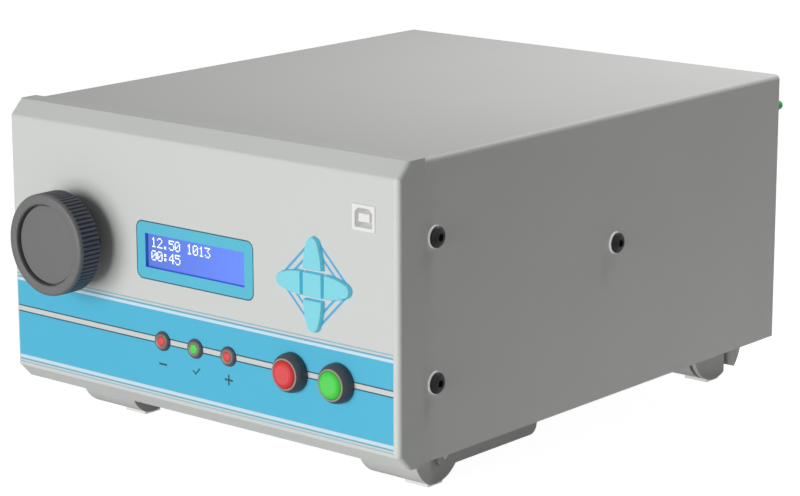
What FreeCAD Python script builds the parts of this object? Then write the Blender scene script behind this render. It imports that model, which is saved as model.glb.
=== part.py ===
import FreeCAD, Part
import math
import os
import Sketcher

# Bench flow tester: a desktop instrument case that holds a pressure regulator, a laminar flow
# element, pressure sensors and electronics. Millimetres, +Z up, front panel towards -Y.
# The origin is on the table, under the middle of the whole instrument.
# Places below are given from the case: x from its middle, y back from the front face,
# z up from the underside of the front bezel.

SIZES = [
    # Case
    ("case_width", 235.0, "width over the front bezel"),
    ("case_height", 132.5, "height of the front bezel, 3 rack units"),
    ("case_depth", 287.8, "front face to rear edge of the cover"),
    ("bezel_depth", 16.7, "depth of the front bezel"),
    ("bezel_proud", 0.7, "step from the bezel down to the cover"),
    ("bezel_rim", 5.0, "thickness of the bezel's rim"),
    ("front_wall", 2.5, "thickness of the bezel's front wall"),
    ("chamfer_height", 6.6, "height of the bezel's top and bottom chamfers"),
    ("chamfer_depth", 6.4, "depth of the same chamfers"),
    ("edge_round", 0.8, "rounding of the bezel's long front edges"),
    ("side_round", 2.2, "rounding round the bezel's two ends"),
    ("label_thickness", 0.25, "printed film on the front face"),
    ("sheet", 1.5, "sheet metal of cover and base"),
    ("bend_radius", 2.5, "outer radius of the cover's bends"),
    ("rail_thickness", 3.0, "side plates inside the cover"),
    ("rear_plate", 2.0, "thickness of the rear panel"),
    ("panel_gap", 0.1, "gap between the rear panel and the cover"),
    ("panel_thread", 1.5, "thread of a rear panel screw"),
    ("panel_screw_length", 8.0, "shank of a rear panel screw"),
    ("rear_recess", 3.0, "depth of the rear panel inside the cover"),
    # Display
    ("display_x", 0.0, "middle of the display"),
    ("display_drop", 57.9, "top of the bezel to the middle of the display"),
    ("window_width", 60.4, "display window"),
    ("window_height", 15.5, "display window"),
    ("window_recess", 1.5, "depth of the display's face in its window"),
    ("window_pane", 1.0, "thickness of the display's clear pane"),
    ("display_frame_width", 71.2, "metal frame of the display"),
    ("display_frame_height", 25.2, "metal frame of the display"),
    ("display_frame_depth", 7.0, "metal frame of the display"),
    ("display_board_width", 78.0, "board of the display"),
    ("display_board_height", 36.0, "board of the display"),
    ("board_thickness", 1.6, "every printed circuit board"),
    # Keys
    ("keypad_x", 71.2, "middle of the cursor keys"),
    ("keypad_drop", 57.8, "top of the bezel to the middle of the cursor keys"),
    ("key_reach", 20.6, "middle of the keys to a key's tip"),
    ("key_tip_radius", 3.1, "radius of the key's tip"),
    ("key_half", 5.2, "half of the key's width at its foot"),
    ("key_gap", 1.5, "gap between keys"),
    ("key_proud", 2.3, "height of the keys above the film"),
    ("key_travel", 0.6, "stroke of a key"),
    ("key_round", 0.5, "rounding of the keys' top edges"),
    ("key_clearance", 0.2, "gap round each key in the panel"),
    ("key_flange", 1.0, "lip that keeps each key in"),
    ("key_board_half", 19.3, "half width of the keys' board"),
    ("key_switch", 12.4, "middle of the keys to an outer key's switch"),
    ("switch_side", 6.0, "body of a key's switch"),
    ("switch_rise", 3.5, "height of a key's switch over its board"),
    ("plunger_radius", 1.7, "plunger of a key's switch"),
    ("post_radius", 2.5, "posts behind the front wall"),
    # Sockets, lamps and push buttons
    ("usb_side", 18.9, "side of the bezel to the middle of the USB socket"),
    ("usb_drop", 25.2, "top of the bezel to the middle of the USB socket"),
    ("usb_width", 12.4, "face of the USB socket"),
    ("usb_height", 11.1, "face of the USB socket"),
    ("usb_proud", 0.6, "how far the USB socket stands out of the front"),
    ("usb_depth", 16.0, "depth of the USB socket"),
    ("usb_mouth_half", 4.75, "half width of the USB socket's mouth"),
    ("usb_mouth_high", 4.15, "half height of the USB socket's mouth"),
    ("usb_mouth_corner", 1.8, "cut corners of the USB socket's mouth"),
    ("usb_mouth_depth", 8.0, "depth of the USB socket's mouth"),
    ("usb_tongue_width", 6.0, "tongue in the USB socket"),
    ("usb_tongue_height", 3.5, "tongue in the USB socket"),
    ("lamp_x", 0.0, "middle lamp"),
    ("lamp_z", 34.2, "height of the row of lamps"),
    ("lamp_pitch", 20.2, "spacing of the lamps"),
    ("lamp_radius", 4.5, "bezel of a lamp"),
    ("lamp_crown", 3.1, "radius of the flat top of a lamp's bezel"),
    ("lamp_height", 1.7, "height of a lamp's bezel"),
    ("lamp_length", 12.0, "length of a lamp's barrel"),
    ("lens_radius", 2.2, "lens of a lamp"),
    ("lens_height", 0.5, "height of the lens's dome"),
    ("lamp_barrel", 3.6, "radius of a lamp's barrel"),
    ("button_x", 57.8, "left push button"),
    ("button_z", 33.9, "height of the push buttons"),
    ("button_pitch", 26.3, "spacing of the push buttons"),
    ("button_radius", 8.8, "bezel of a push button"),
    ("button_height", 5.7, "height of a push button's bezel"),
    ("button_barrel", 7.8, "radius of the barrel behind the panel"),
    ("button_length", 24.0, "length of the barrel"),
    ("cap_radius", 6.2, "cap of a push button"),
    ("cap_top_radius", 3.9, "flat top of the cap"),
    ("cap_proud", 1.5, "height of the cap above its bezel"),
    ("cap_clearance", 0.15, "gap round the cap"),
    ("cap_travel", 2.5, "stroke of a push button"),
    # Regulator
    ("knob_side", 45.0, "side of the bezel to the axis of the regulator knob"),
    ("knob_drop", 58.4, "top of the bezel to the axis of the regulator knob"),
    ("knob_radius", 23.4, "regulator knob"),
    ("knob_reach", 22.0, "front face to the knob's face"),
    ("knob_depth", 13.0, "depth of the knob's ribbed rim"),
    ("knob_rim", 4.9, "width of the raised ring on the knob's face"),
    ("knob_dish", 2.2, "depth of the disc inside that ring"),
    ("knob_channel", 0.8, "width of the channel round the disc"),
    ("knob_channel_depth", 1.4, "depth of that channel"),
    ("knob_ribs", 70, "number of grooves round the knob"),
    ("knob_groove", 0.7, "depth of those grooves"),
    ("hub_radius", 8.6, "hub behind the knob"),
    ("spindle_radius", 3.0, "regulator spindle"),
    ("running_gap", 0.05, "radial clearance of spindles and pins"),
    ("neck_radius", 8.0, "threaded neck of the regulator"),
    ("nut_across_flats", 24.0, "panel nut of the regulator"),
    ("nut_thickness", 4.0, "panel nut of the regulator"),
    ("bonnet_radius", 21.0, "spring housing of the regulator"),
    ("bonnet_length", 34.0, "spring housing of the regulator"),
    ("valve_block", 46.0, "square valve block of the regulator"),
    ("valve_block_depth", 22.0, "depth of that block"),
    # Side screws
    ("screw_y", 24.0, "front pair of side screws"),
    ("screw_low_z", 34.6, "lower front side screw"),
    ("screw_drop", 34.7, "top of the bezel to the upper front side screw"),
    ("screw_middle_y", 153.0, "middle side screw"),
    ("screw_middle_z", 72.3, "middle side screw"),
    ("screw_radius", 2.5, "thread of a side screw"),
    ("screw_length", 9.0, "shank of a side screw"),
    ("screw_head_radius", 4.7, "button head of a side screw"),
    ("screw_head_height", 2.1, "button head of a side screw"),
    ("screw_socket", 3.0, "hexagon socket across flats"),
    ("washer_radius", 5.0, "washer under a side screw"),
    ("washer_thickness", 1.1, "washer under a side screw"),
    # Feet
    ("foot_side", 31.1, "side of the bezel to a foot's screw"),
    ("foot_radius", 17.6, "half drum of a foot"),
    ("foot_length", 32.6, "length of a foot along x"),
    ("foot_left", 12.7, "left end of a foot to its screw"),
    ("front_foot_y", 40.8, "axis of the front feet"),
    ("rear_foot_back", 32.0, "rear edge of the case to the axis of the rear feet"),
    ("foot_hole", 1.9, "hole for a foot's screw"),
    ("foot_thread", 1.75, "thread of a foot's screw"),
    ("foot_screw_length", 9.0, "shank of a foot's screw"),
    ("foot_well", 3.6, "radius of the well for a foot's screw"),
    ("pad_shift", 10.4, "foot's screw to the middle of its pad"),
    ("pad_width", 10.0, "non-slip pad along y"),
    ("pad_length", 12.8, "non-slip pad along x"),
    ("pad_thickness", 2.0, "non-slip pad"),
    ("pad_proud", 0.8, "how far the pad stands out of the foot"),
    ("cheek_thickness", 2.3, "outer cheek of a rear foot"),
    ("cheek_gap", 2.1, "slot between that cheek and the drum"),
    ("cheek_reach", 8.5, "axis of a rear foot to the rear end of its cheek"),
    ("stop_start", 12.0, "axis of a rear foot to its stop block"),
    ("stop_proud", 3.6, "how far the stop block stands out of the cheek"),
    ("recess_start", 6.2, "front end of the arm's recess to the foot's axis"),
    ("arm_thickness", 2.2, "side arm of a tilt leg"),
    ("arm_height", 9.6, "height of a folded tilt leg"),
    ("leg_pivot_y", 3.4, "tilt leg's pivot behind the foot's axis"),
    ("leg_pivot_drop", 5.3, "tilt leg's pivot under the base"),
    ("leg_length", 65.1, "pivot to tip of a tilt leg"),
    ("leg_web_start", 15.0, "pivot to the web between the arms"),
    ("leg_wall", 2.2, "wall of the tilt leg's web"),
    ("leg_gap", 0.3, "side clearance of a tilt leg"),
    ("pin_radius", 1.5, "pivot pin of a tilt leg"),
    ("pin_length", 8.0, "length of each of a tilt leg's two pins"),
    # Rear panel
    ("inlet_side", 33.5, "side of the bezel to the mains inlet"),
    ("inlet_z", 34.0, "mains inlet"),
    ("inlet_width", 27.0, "body of the mains inlet"),
    ("inlet_height", 20.0, "body of the mains inlet"),
    ("inlet_depth", 22.0, "body of the mains inlet"),
    ("inlet_corner", 4.5, "cut corners of the mains inlet's mouth"),
    ("pin_width", 2.0, "contact pin of the mains inlet"),
    ("pin_height", 4.0, "contact pin of the mains inlet"),
    ("pin_spacing", 7.0, "middle pin of the mains inlet to an outer one"),
    ("pin_tag", 7.0, "solder tag behind the mains inlet"),
    ("flange_margin", 2.0, "flange of a snap-in part round its cut-out"),
    ("flange_thickness", 2.0, "flange of a snap-in part"),
    ("rocker_side", 67.5, "side of the bezel to the mains switch"),
    ("switch_width", 13.0, "body of the mains switch"),
    ("switch_height", 19.2, "body of the mains switch"),
    ("switch_depth", 18.0, "body of the mains switch"),
    ("rocker_tilt", 9.0, "angle of the rocker to either side"),
    ("rocker_axis", -2.0, "rear panel's back face to the rocker's pivot"),
    ("rocker_pin", 1.2, "radius of the rocker's pivot pins"),
    ("serial_x", -5.0, "nine-way connector"),
    ("signal_x", 50.0, "twenty-five-way connector"),
    ("connector_z", 34.0, "both connectors"),
    ("serial_width", 16.9, "shell of the nine-way connector"),
    ("signal_width", 38.9, "shell of the twenty-five-way connector"),
    ("shell_height", 8.3, "shell of both connectors"),
    ("serial_posts", 25.0, "spacing of the nine-way connector's screw posts"),
    ("signal_posts", 47.0, "spacing of the twenty-five-way connector's screw posts"),
    ("post_thread", 1.2, "threaded hole in a screw post"),
    ("supply_side", 47.5, "side of the bezel to the supply port"),
    ("supply_drop", 32.5, "top of the bezel to the supply port"),
    ("port_side", 14.5, "side of the bezel to the test port"),
    ("port_drop", 20.1, "top of the bezel to the test port"),
    ("port_radius", 6.0, "body of a port"),
    ("port_length", 11.0, "length of a port behind the rear panel"),
    ("supply_bore", 3.0, "bore for the supply tube"),
    ("port_bore", 2.4, "bore for the test tube"),
    ("plug_tip", 23.5, "rear edge of the cover to the end of the transit plug"),
    # Inside
    ("board_side", 67.3, "left side rail to the main board"),
    ("board_back", 92.8, "rear panel to the middle of the main board"),
    ("board_width", 100.0, "main board"),
    ("board_length", 160.0, "main board"),
    ("pillar_height", 8.0, "pillars under the main board"),
    ("pillar_radius", 3.0, "pillars"),
    ("pillar_inset", 5.0, "edge of a board to its pillars"),
    ("supply_unit_side", 9.3, "side rail to the power supply"),
    ("supply_unit_back", 90.8, "rear panel to the middle of the power supply"),
    ("supply_unit_width", 52.0, "power supply"),
    ("supply_unit_length", 88.0, "power supply"),
    ("supply_unit_height", 30.0, "power supply"),
    ("element_side", 27.3, "side rail to the axis of the laminar flow element"),
    ("element_z", 62.0, "axis of the laminar flow element"),
    ("element_y", 150.0, "middle of the laminar flow element"),
    ("element_radius", 16.0, "tube of the laminar flow element"),
    ("element_length", 150.0, "laminar flow element"),
    ("cap_ring_radius", 19.0, "end caps of the laminar flow element"),
    ("clamp_width", 14.0, "clamps of the laminar flow element"),
    ("valve_side", 37.3, "left side rail to the middle of the solenoid valve"),
    ("valve_back", 172.8, "rear panel to the front of the solenoid valve"),
]

doc = FreeCAD.newDocument("FlowTester")
sheet = doc.addObject("Spreadsheet::Sheet", "Dims")
node_objects = []


class Size:
    """A length with its number and the sheet formula that gives it."""

    def __init__(self, number, formula):
        self.number = number
        self.formula = formula

    def joined(self, sign, other, number, swap=False):
        pair = [self.formula, formula_of(other)]
        if swap:
            pair.reverse()
        return Size(number, f"({pair[0]} {sign} {pair[1]})")

    def __add__(self, other):
        return self.joined("+", other, self.number + number_of(other))

    __radd__ = __add__

    def __sub__(self, other):
        return self.joined("-", other, self.number - number_of(other))

    def __rsub__(self, other):
        return self.joined("-", other, number_of(other) - self.number, True)

    def __mul__(self, other):
        return self.joined("*", other, self.number * number_of(other))

    __rmul__ = __mul__

    def __truediv__(self, other):
        return self.joined("/", other, self.number / number_of(other))

    def __neg__(self):
        return self * -1


def number_of(size):
    return size.number if isinstance(size, Size) else float(size)


def formula_of(size):
    return size.formula if isinstance(size, Size) else repr(float(size))


def fill_sheet():
    """Write every driving dimension to the sheet and hand each back as a Size."""
    sizes = {}
    for row, (alias, number, meaning) in enumerate(SIZES, start=1):
        sheet.set(f"A{row}", str(number))
        sheet.set(f"B{row}", meaning)
        sheet.setAlias(f"A{row}", alias)
        sizes[alias] = Size(float(number), f"Dims.{alias}")
    doc.recompute()
    return sizes


D = fill_sheet()

# Places that several pieces share
FRONT = (D["knob_reach"] - D["case_depth"] - D["plug_tip"]) / 2
LIFT = D["foot_radius"] + D["pad_proud"] - D["bezel_proud"]
SIDE = D["case_width"] / 2
HALF_WIDTH = SIDE - D["bezel_proud"]
COVER_TOP = D["case_height"] - D["bezel_proud"]
COVER_BOTTOM = D["bezel_proud"]
FLOOR = COVER_BOTTOM + D["sheet"]
CEILING = COVER_TOP - D["sheet"]
INNER_HALF = HALF_WIDTH - D["sheet"]
RAIL_FACE = INNER_HALF - D["rail_thickness"]
PANEL_BACK = D["case_depth"] - D["rear_recess"]
PANEL_FRONT = PANEL_BACK - D["rear_plate"]
FILM_FACE = -D["label_thickness"]
KNOB_X, KNOB_Z = D["knob_side"] - SIDE, D["case_height"] - D["knob_drop"]
DISPLAY_Z, KEYPAD_Z = D["case_height"] - D["display_drop"], D["case_height"] - D["keypad_drop"]
USB_X, USB_Z = SIDE - D["usb_side"], D["case_height"] - D["usb_drop"]
INLET_X, SWITCH_X = D["inlet_side"] - SIDE, D["rocker_side"] - SIDE
SUPPLY_X, SUPPLY_Z = D["supply_side"] - SIDE, D["case_height"] - D["supply_drop"]
PORT_X, PORT_Z = SIDE - D["port_side"], D["case_height"] - D["port_drop"]
REAR_FOOT_Y = D["case_depth"] - D["rear_foot_back"]
BOARD_X, BOARD_Y = D["board_side"] + D["board_width"] / 2 - RAIL_FACE, PANEL_FRONT - D["board_back"]

TURNS = {
    "up": FreeCAD.Rotation(),
    "front": FreeCAD.Rotation(FreeCAD.Vector(1, 0, 0), 90),
    "back": FreeCAD.Rotation(FreeCAD.Vector(1, 0, 0), -90),
    "right": FreeCAD.Rotation(FreeCAD.Vector(0, 1, 0), 90),
    "left": FreeCAD.Rotation(FreeCAD.Vector(0, 1, 0), -90),
    "down": FreeCAD.Rotation(FreeCAD.Vector(1, 0, 0), 180),
}


# Helpers for placing and binding


def bind(item, path, size):
    item.setExpression(path, formula_of(size))


def place(item, x, y, z, turn=None):
    """Put an object at a place given from the case, with a fixed turn."""
    item.Placement = FreeCAD.Placement(FreeCAD.Vector(), turn or FreeCAD.Rotation())
    bind(item, "Placement.Base.x", x)
    bind(item, "Placement.Base.y", FRONT + y)
    bind(item, "Placement.Base.z", LIFT + z)
    return item


def node(item, label):
    item.Label = label
    node_objects.append(item)
    return item


def box(x, y, z, width, depth, height):
    """A block from its left, front, lower corner."""
    block = doc.addObject("Part::Box", "Block")
    bind(block, "Length", width)
    bind(block, "Width", depth)
    bind(block, "Height", height)
    return place(block, x, y, z)


def middle_box(x, y, z, width, depth, height):
    """A block whose x and z are its middle and whose y is its front."""
    return box(x - width / 2, y, z - height / 2, width, depth, height)


def rod(x, y, z, radius, length, pointing="up"):
    cylinder = doc.addObject("Part::Cylinder", "Rod")
    bind(cylinder, "Radius", radius)
    bind(cylinder, "Height", length)
    return place(cylinder, x, y, z, TURNS[pointing])


def hexagon(x, y, z, across_flats, length, pointing="up"):
    prism = doc.addObject("Part::Prism", "Hexagon")
    prism.Polygon = 6
    bind(prism, "Circumradius", across_flats / math.sqrt(3))
    bind(prism, "Height", length)
    return place(prism, x, y, z, TURNS[pointing])


def fuse(*pieces):
    joined = doc.addObject("Part::MultiFuse", "Joined")
    joined.Shapes = list(pieces)
    return joined


def cut(base, *tools):
    """The base less every tool, one after the other."""
    for tool in tools:
        trimmed = doc.addObject("Part::Cut", "Trimmed")
        trimmed.Base = base
        trimmed.Tool = tool
        base = trimmed
    return base


def common(*pieces):
    shared = doc.addObject("Part::MultiCommon", "Shared")
    shared.Shapes = list(pieces)
    return shared


def group(pieces):
    """Like pieces, such as fasteners, as separate solids of one node."""
    bundle = doc.addObject("Part::Compound", "Group")
    bundle.Links = list(pieces)
    return bundle


def copy_of(master, x, y, z, pointing="up"):
    twin = doc.addObject("App::Link", "Copy")
    twin.LinkedObject = master
    return place(twin, x, y, z, TURNS[pointing])


# Helpers for bodies and sketches


def new_body(x, y, z, turn=None):
    body = doc.addObject("PartDesign::Body", "Body")
    return place(body, x, y, z, turn)


def new_sketch(body, role, offset=None):
    """A sketch on one of the body's own origin planes, moved along its normal."""
    plane = next(o for o in body.Origin.OriginFeatures if o.Role == role)
    sketch = body.newObject("Sketcher::SketchObject", "Sketch")
    sketch.AttachmentSupport = (plane, [""])
    sketch.MapMode = "FlatFace"
    if offset is not None:
        bind(sketch, "AttachmentOffset.Base.z", offset)
    return sketch


def hold(sketch, kind, size, *where):
    """A driving constraint whose value comes from the sheet."""
    index = sketch.addConstraint(Sketcher.Constraint(kind, *where, number_of(size)))
    if isinstance(size, Size):
        sketch.setExpression(f"Constraints[{index}]", size.formula)


def pin_point(sketch, geometry, end, x, y):
    hold(sketch, "DistanceX", x, -1, 1, geometry, end)
    hold(sketch, "DistanceY", y, -1, 1, geometry, end)


def arc_between(start, finish, radius):
    """An arc that bulges to the right of its direction, or to the left if radius is negative."""
    chord = finish - start
    sagitta = abs(radius) - math.sqrt(radius ** 2 - (chord.Length / 2) ** 2)
    side = FreeCAD.Vector(chord.y, -chord.x, 0).normalize()
    middle = (start + finish) / 2 + side * math.copysign(sagitta, radius)
    return Part.Arc(start, middle, finish)


def outline(sketch, *corners):
    """A closed outline, run counter-clockwise. A third value is the radius of the arc
    that leads up to that corner."""
    points = [FreeCAD.Vector(number_of(c[0]), number_of(c[1]), 0) for c in corners]
    ends = []
    for index, corner in enumerate(corners):
        start, finish = points[index - 1], points[index]
        if len(corner) == 3:
            edge = arc_between(start, finish, number_of(corner[2]))
        else:
            edge = Part.LineSegment(start, finish)
        geometry = sketch.addGeometry(edge)
        runs_on = (sketch.Geometry[geometry].StartPoint - start).Length < 1e-6
        ends.append((geometry, 1, 2) if runs_on else (geometry, 2, 1))
    for index, corner in enumerate(corners):
        geometry, _, last = ends[index]
        following, first, _ = ends[(index + 1) % len(corners)]
        sketch.addConstraint(Sketcher.Constraint("Coincident", geometry, last, following, first))
        pin_point(sketch, geometry, last, corner[0], corner[1])
        if len(corner) == 3:
            radius = corner[2] if number_of(corner[2]) > 0 else -corner[2]
            hold(sketch, "Radius", radius, geometry)


def rectangle(sketch, x, y, width, height):
    """A rectangle about its middle."""
    left, right = x - width / 2, x + width / 2
    low, high = y - height / 2, y + height / 2
    outline(sketch, (left, low), (right, low), (right, high), (left, high))


def circle(sketch, x, y, radius):
    centre = FreeCAD.Vector(number_of(x), number_of(y), 0)
    round_edge = Part.Circle(centre, FreeCAD.Vector(0, 0, 1), number_of(radius))
    geometry = sketch.addGeometry(round_edge)
    hold(sketch, "Radius", radius, geometry)
    pin_point(sketch, geometry, 3, x, y)


def pad(body, sketch, length, reverse=False, both=False):
    feature = body.newObject("PartDesign::Pad", "Pad")
    feature.Profile = sketch
    feature.Reversed = reverse
    feature.Midplane = both
    bind(feature, "Length", length)
    return feature


def pocket(body, sketch, length, reverse=False, both=False):
    feature = body.newObject("PartDesign::Pocket", "Pocket")
    feature.Profile = sketch
    feature.Type = "Length"
    feature.Reversed = reverse
    feature.Midplane = both
    bind(feature, "Length", length)
    return feature


def edges_where(shape, test):
    return [f"Edge{n}" for n, edge in enumerate(shape.Edges, start=1) if test(edge)]


def soften(body, radius, test, kind="Fillet"):
    """Fillet or chamfer the edges of the body's last feature that pass a test."""
    doc.recompute()
    base = body.Tip
    feature = body.newObject(f"PartDesign::{kind}", kind)
    feature.Base = (base, edges_where(base.Shape, test))
    bind(feature, "Radius" if kind == "Fillet" else "Size", radius)
    return feature


def dome(width, height):
    """Radius of a dome of that half width and height, level at its top."""
    return (width * width + height * height) / (height * 2)


def turned(x, y, z, pointing, *profile):
    """A piece turned about its own axis from (radius, height) corners."""
    body = new_body(x, y, z, TURNS[pointing])
    sketch = new_sketch(body, "XZ_Plane")
    outline(sketch, *profile)
    feature = body.newObject("PartDesign::Revolution", "Turned")
    feature.Profile = sketch
    feature.ReferenceAxis = (sketch, ["V_Axis"])
    feature.Angle = 360
    return body


# Front of the case


def petal(sketch, clearance):
    """One cursor key seen from the front, pointing up: bowed sides that run on into a round tip."""
    half = D["key_half"] + clearance
    tip = D["key_tip_radius"] + clearance
    foot = D["key_half"] + D["key_gap"] - clearance
    length = D["key_reach"] + clearance - tip - foot
    side = (length * length + half * half - tip * tip) / ((half - tip) * 2)
    shoulder = foot + length + tip * length / (side - tip)
    shoulder_half = tip * (side - half) / (side - tip)
    outline(
        sketch,
        (-half, foot, side),
        (half, foot),
        (shoulder_half, shoulder, side),
        (-shoulder_half, shoulder, tip),
    )


def front_openings(sketch):
    """Everything that passes through the front wall, apart from the cursor keys."""
    rectangle(sketch, D["display_x"], DISPLAY_Z, D["window_width"], D["window_height"])
    rectangle(sketch, USB_X, USB_Z, D["usb_width"] + 0.2, D["usb_height"] + 0.2)
    for step in (-1, 0, 1):
        circle(sketch, D["lamp_x"] + D["lamp_pitch"] * step, D["lamp_z"], D["lamp_barrel"] + 0.2)
    for step in (0, 1):
        x = D["button_x"] + D["button_pitch"] * step
        circle(sketch, x, D["button_z"], D["button_barrel"] + 0.2)
    circle(sketch, KNOB_X, KNOB_Z, D["neck_radius"] + 0.3)


def key_holes(label, base, start, depth):
    """Cut the five key openings out of the front wall or its film."""
    tools = []
    for angle in (0, 90, 180, 270):
        body = new_body(D["keypad_x"], start, KEYPAD_Z, FreeCAD.Rotation(FreeCAD.Vector(0, 1, 0), angle))
        sketch = new_sketch(body, "XZ_Plane")
        petal(sketch, D["key_clearance"])
        pad(body, sketch, depth, reverse=True)
        tools.append(body)
    side = (D["key_half"] + D["key_clearance"]) * 2
    tools.append(middle_box(D["keypad_x"], start, KEYPAD_Z, side, depth, side))
    return node(cut(base, fuse(*tools)), label)


def make_front_bezel():
    body = new_body(0, 0, 0)
    height, depth = D["case_height"], D["bezel_depth"]
    up, back = D["chamfer_height"], D["chamfer_depth"]
    section = new_sketch(body, "YZ_Plane")
    outline(section, (0, up), (back, 0), (depth, 0), (depth, height), (back, height), (0, height - up))
    pad(body, section, D["case_width"], both=True)
    soften(body, D["side_round"], bezel_end_edge)
    soften(body, D["edge_round"], bezel_front_edge)
    wall, rim = D["front_wall"], D["bezel_rim"]
    hollow = new_sketch(body, "YZ_Plane")
    outline(
        hollow,
        (wall, up + wall / 2),
        (back + wall, rim),
        (depth, rim),
        (depth, height - rim),
        (back + wall, height - rim),
        (wall, height - up - wall / 2),
    )
    pocket(body, hollow, D["case_width"] - rim * 2, both=True)
    openings = new_sketch(body, "XZ_Plane")
    front_openings(openings)
    pocket(body, openings, wall * 2)
    bosses = new_sketch(body, "XZ_Plane", -wall)
    for x, z in board_posts("display") + board_posts("keypad"):
        circle(bosses, x, z, D["post_radius"])
    posts = pad(body, bosses, POST_LENGTH, reverse=True)
    body.Tip = posts
    key_holes("front_bezel", body, -1, wall + 2)


def bezel_end_edge(edge):
    """The front and chamfered edges of both flat ends."""
    middle = edge.BoundBox.Center
    return edge.BoundBox.XLength < 1 and middle.y < number_of(D["chamfer_depth"])


def bezel_front_edge(edge):
    """The two long edges between the front face and its chamfers."""
    return edge.BoundBox.XLength > number_of(SIDE) and edge.BoundBox.YMax < 0.01


def make_front_label():
    body = new_body(0, 0, 0)
    sketch = new_sketch(body, "XZ_Plane")
    width = D["case_width"] - D["side_round"] * 2
    height = D["case_height"] - (D["chamfer_height"] + D["edge_round"] / 2) * 2
    rectangle(sketch, 0, D["case_height"] / 2, width, height)
    pad(body, sketch, D["label_thickness"])
    openings = new_sketch(body, "XZ_Plane", D["label_thickness"])
    front_openings(openings)
    pocket(body, openings, D["label_thickness"] * 2)
    key_holes("front_label", body, -1, 2)


# Cover, base and rear panel


def make_case_cover():
    body = new_body(0, D["bezel_depth"], 0)
    sketch = new_sketch(body, "XZ_Plane")
    edge, top, low = HALF_WIDTH, COVER_TOP, COVER_BOTTOM
    bend, wall = D["bend_radius"], D["sheet"]
    outline(
        sketch,
        (edge, low),
        (edge, top - bend),
        (edge - bend, top, bend),
        (bend - edge, top),
        (-edge, top - bend, bend),
        (-edge, low),
        (wall - edge, low),
        (wall - edge, top - bend),
        (bend - edge, top - wall),
        (edge - bend, top - wall),
        (edge - wall, top - bend),
        (edge - wall, low),
    )
    pad(body, sketch, D["case_depth"] - D["bezel_depth"], reverse=True)
    holes = new_sketch(body, "YZ_Plane")
    for y, z in screw_places():
        circle(holes, y - D["bezel_depth"], z, D["screw_radius"] + 0.25)
    pocket(body, holes, D["case_width"], both=True)
    node(body, "case_cover")


def screw_places():
    return [
        (D["screw_y"], D["screw_low_z"]),
        (D["screw_y"], D["case_height"] - D["screw_drop"]),
        (D["screw_middle_y"], D["screw_middle_z"]),
    ]


def foot_places():
    """Each foot's screw, which lies on its drum's axis. All four feet point the same way."""
    x = SIDE - D["foot_side"]
    return [
        ("front_left", -x, D["front_foot_y"]),
        ("front_right", x, D["front_foot_y"]),
        ("rear_left", -x, REAR_FOOT_Y),
        ("rear_right", x, REAR_FOOT_Y),
    ]


def make_base_plate():
    depth = PANEL_FRONT - D["bezel_depth"]
    plate = box(-INNER_HALF, D["bezel_depth"], COVER_BOTTOM, INNER_HALF * 2, depth, D["sheet"])
    holes = [
        rod(x, y, COVER_BOTTOM - 1, D["foot_hole"], D["sheet"] + 2)
        for _, x, y in foot_places()
    ]
    node(cut(plate, fuse(*holes)), "base_plate")


def make_side_rail(side, label):
    """A side plate with the threads of the side screws."""
    x = RAIL_FACE if side > 0 else -INNER_HALF
    length = PANEL_FRONT - D["bezel_depth"]
    height = CEILING - FLOOR - D["bend_radius"]
    plate = box(x, D["bezel_depth"], FLOOR, D["rail_thickness"], length, height)
    threads = [
        rod(x - 1, y, z, D["screw_radius"] + D["running_gap"], D["rail_thickness"] + 2, "right")
        for y, z in screw_places()
    ]
    node(cut(plate, group(threads)), label)


def make_rear_panel():
    plate = new_body(0, PANEL_FRONT, 0)
    sketch = new_sketch(plate, "XZ_Plane")
    edge, corner = INNER_HALF - D["panel_gap"], D["bend_radius"]
    high = CEILING - D["panel_gap"]
    outline(
        sketch,
        (-edge, COVER_BOTTOM), (edge, COVER_BOTTOM), (edge, high - corner),
        (edge - corner, high), (corner - edge, high), (-edge, high - corner),
    )
    pad(plate, sketch, D["rear_plate"], reverse=True)
    through, start = D["rear_plate"] + 2, PANEL_FRONT - 1
    shell, fit = D["shell_height"] + 3, 0.2
    tools = [
        middle_box(INLET_X, start, D["inlet_z"], D["inlet_width"] + fit, through, D["inlet_height"] + fit),
        middle_box(SWITCH_X, start, D["inlet_z"], D["switch_width"] + fit, through, D["switch_height"] + fit),
        middle_box(D["serial_x"], start, D["connector_z"], D["serial_width"] + 2.8, through, shell),
        middle_box(D["signal_x"], start, D["connector_z"], D["signal_width"] + 2.8, through, shell),
        rod(SUPPLY_X, start, SUPPLY_Z, D["port_radius"] - 1, through, "back"),
        rod(PORT_X, start, PORT_Z, D["port_radius"] - 1, through, "back"),
    ]
    tools += [rod(x, start, z, 1.7, through, "back") for x, z in rear_screw_places()]
    node(cut(plate, group(tools)), "rear_panel")


def rear_screw_places():
    x = RAIL_FACE - 4
    low, high = FLOOR + 6, CEILING - D["bend_radius"] - 6
    return [(x, low), (x, high), (-x, low), (-x, high)]


# Screws


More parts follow.
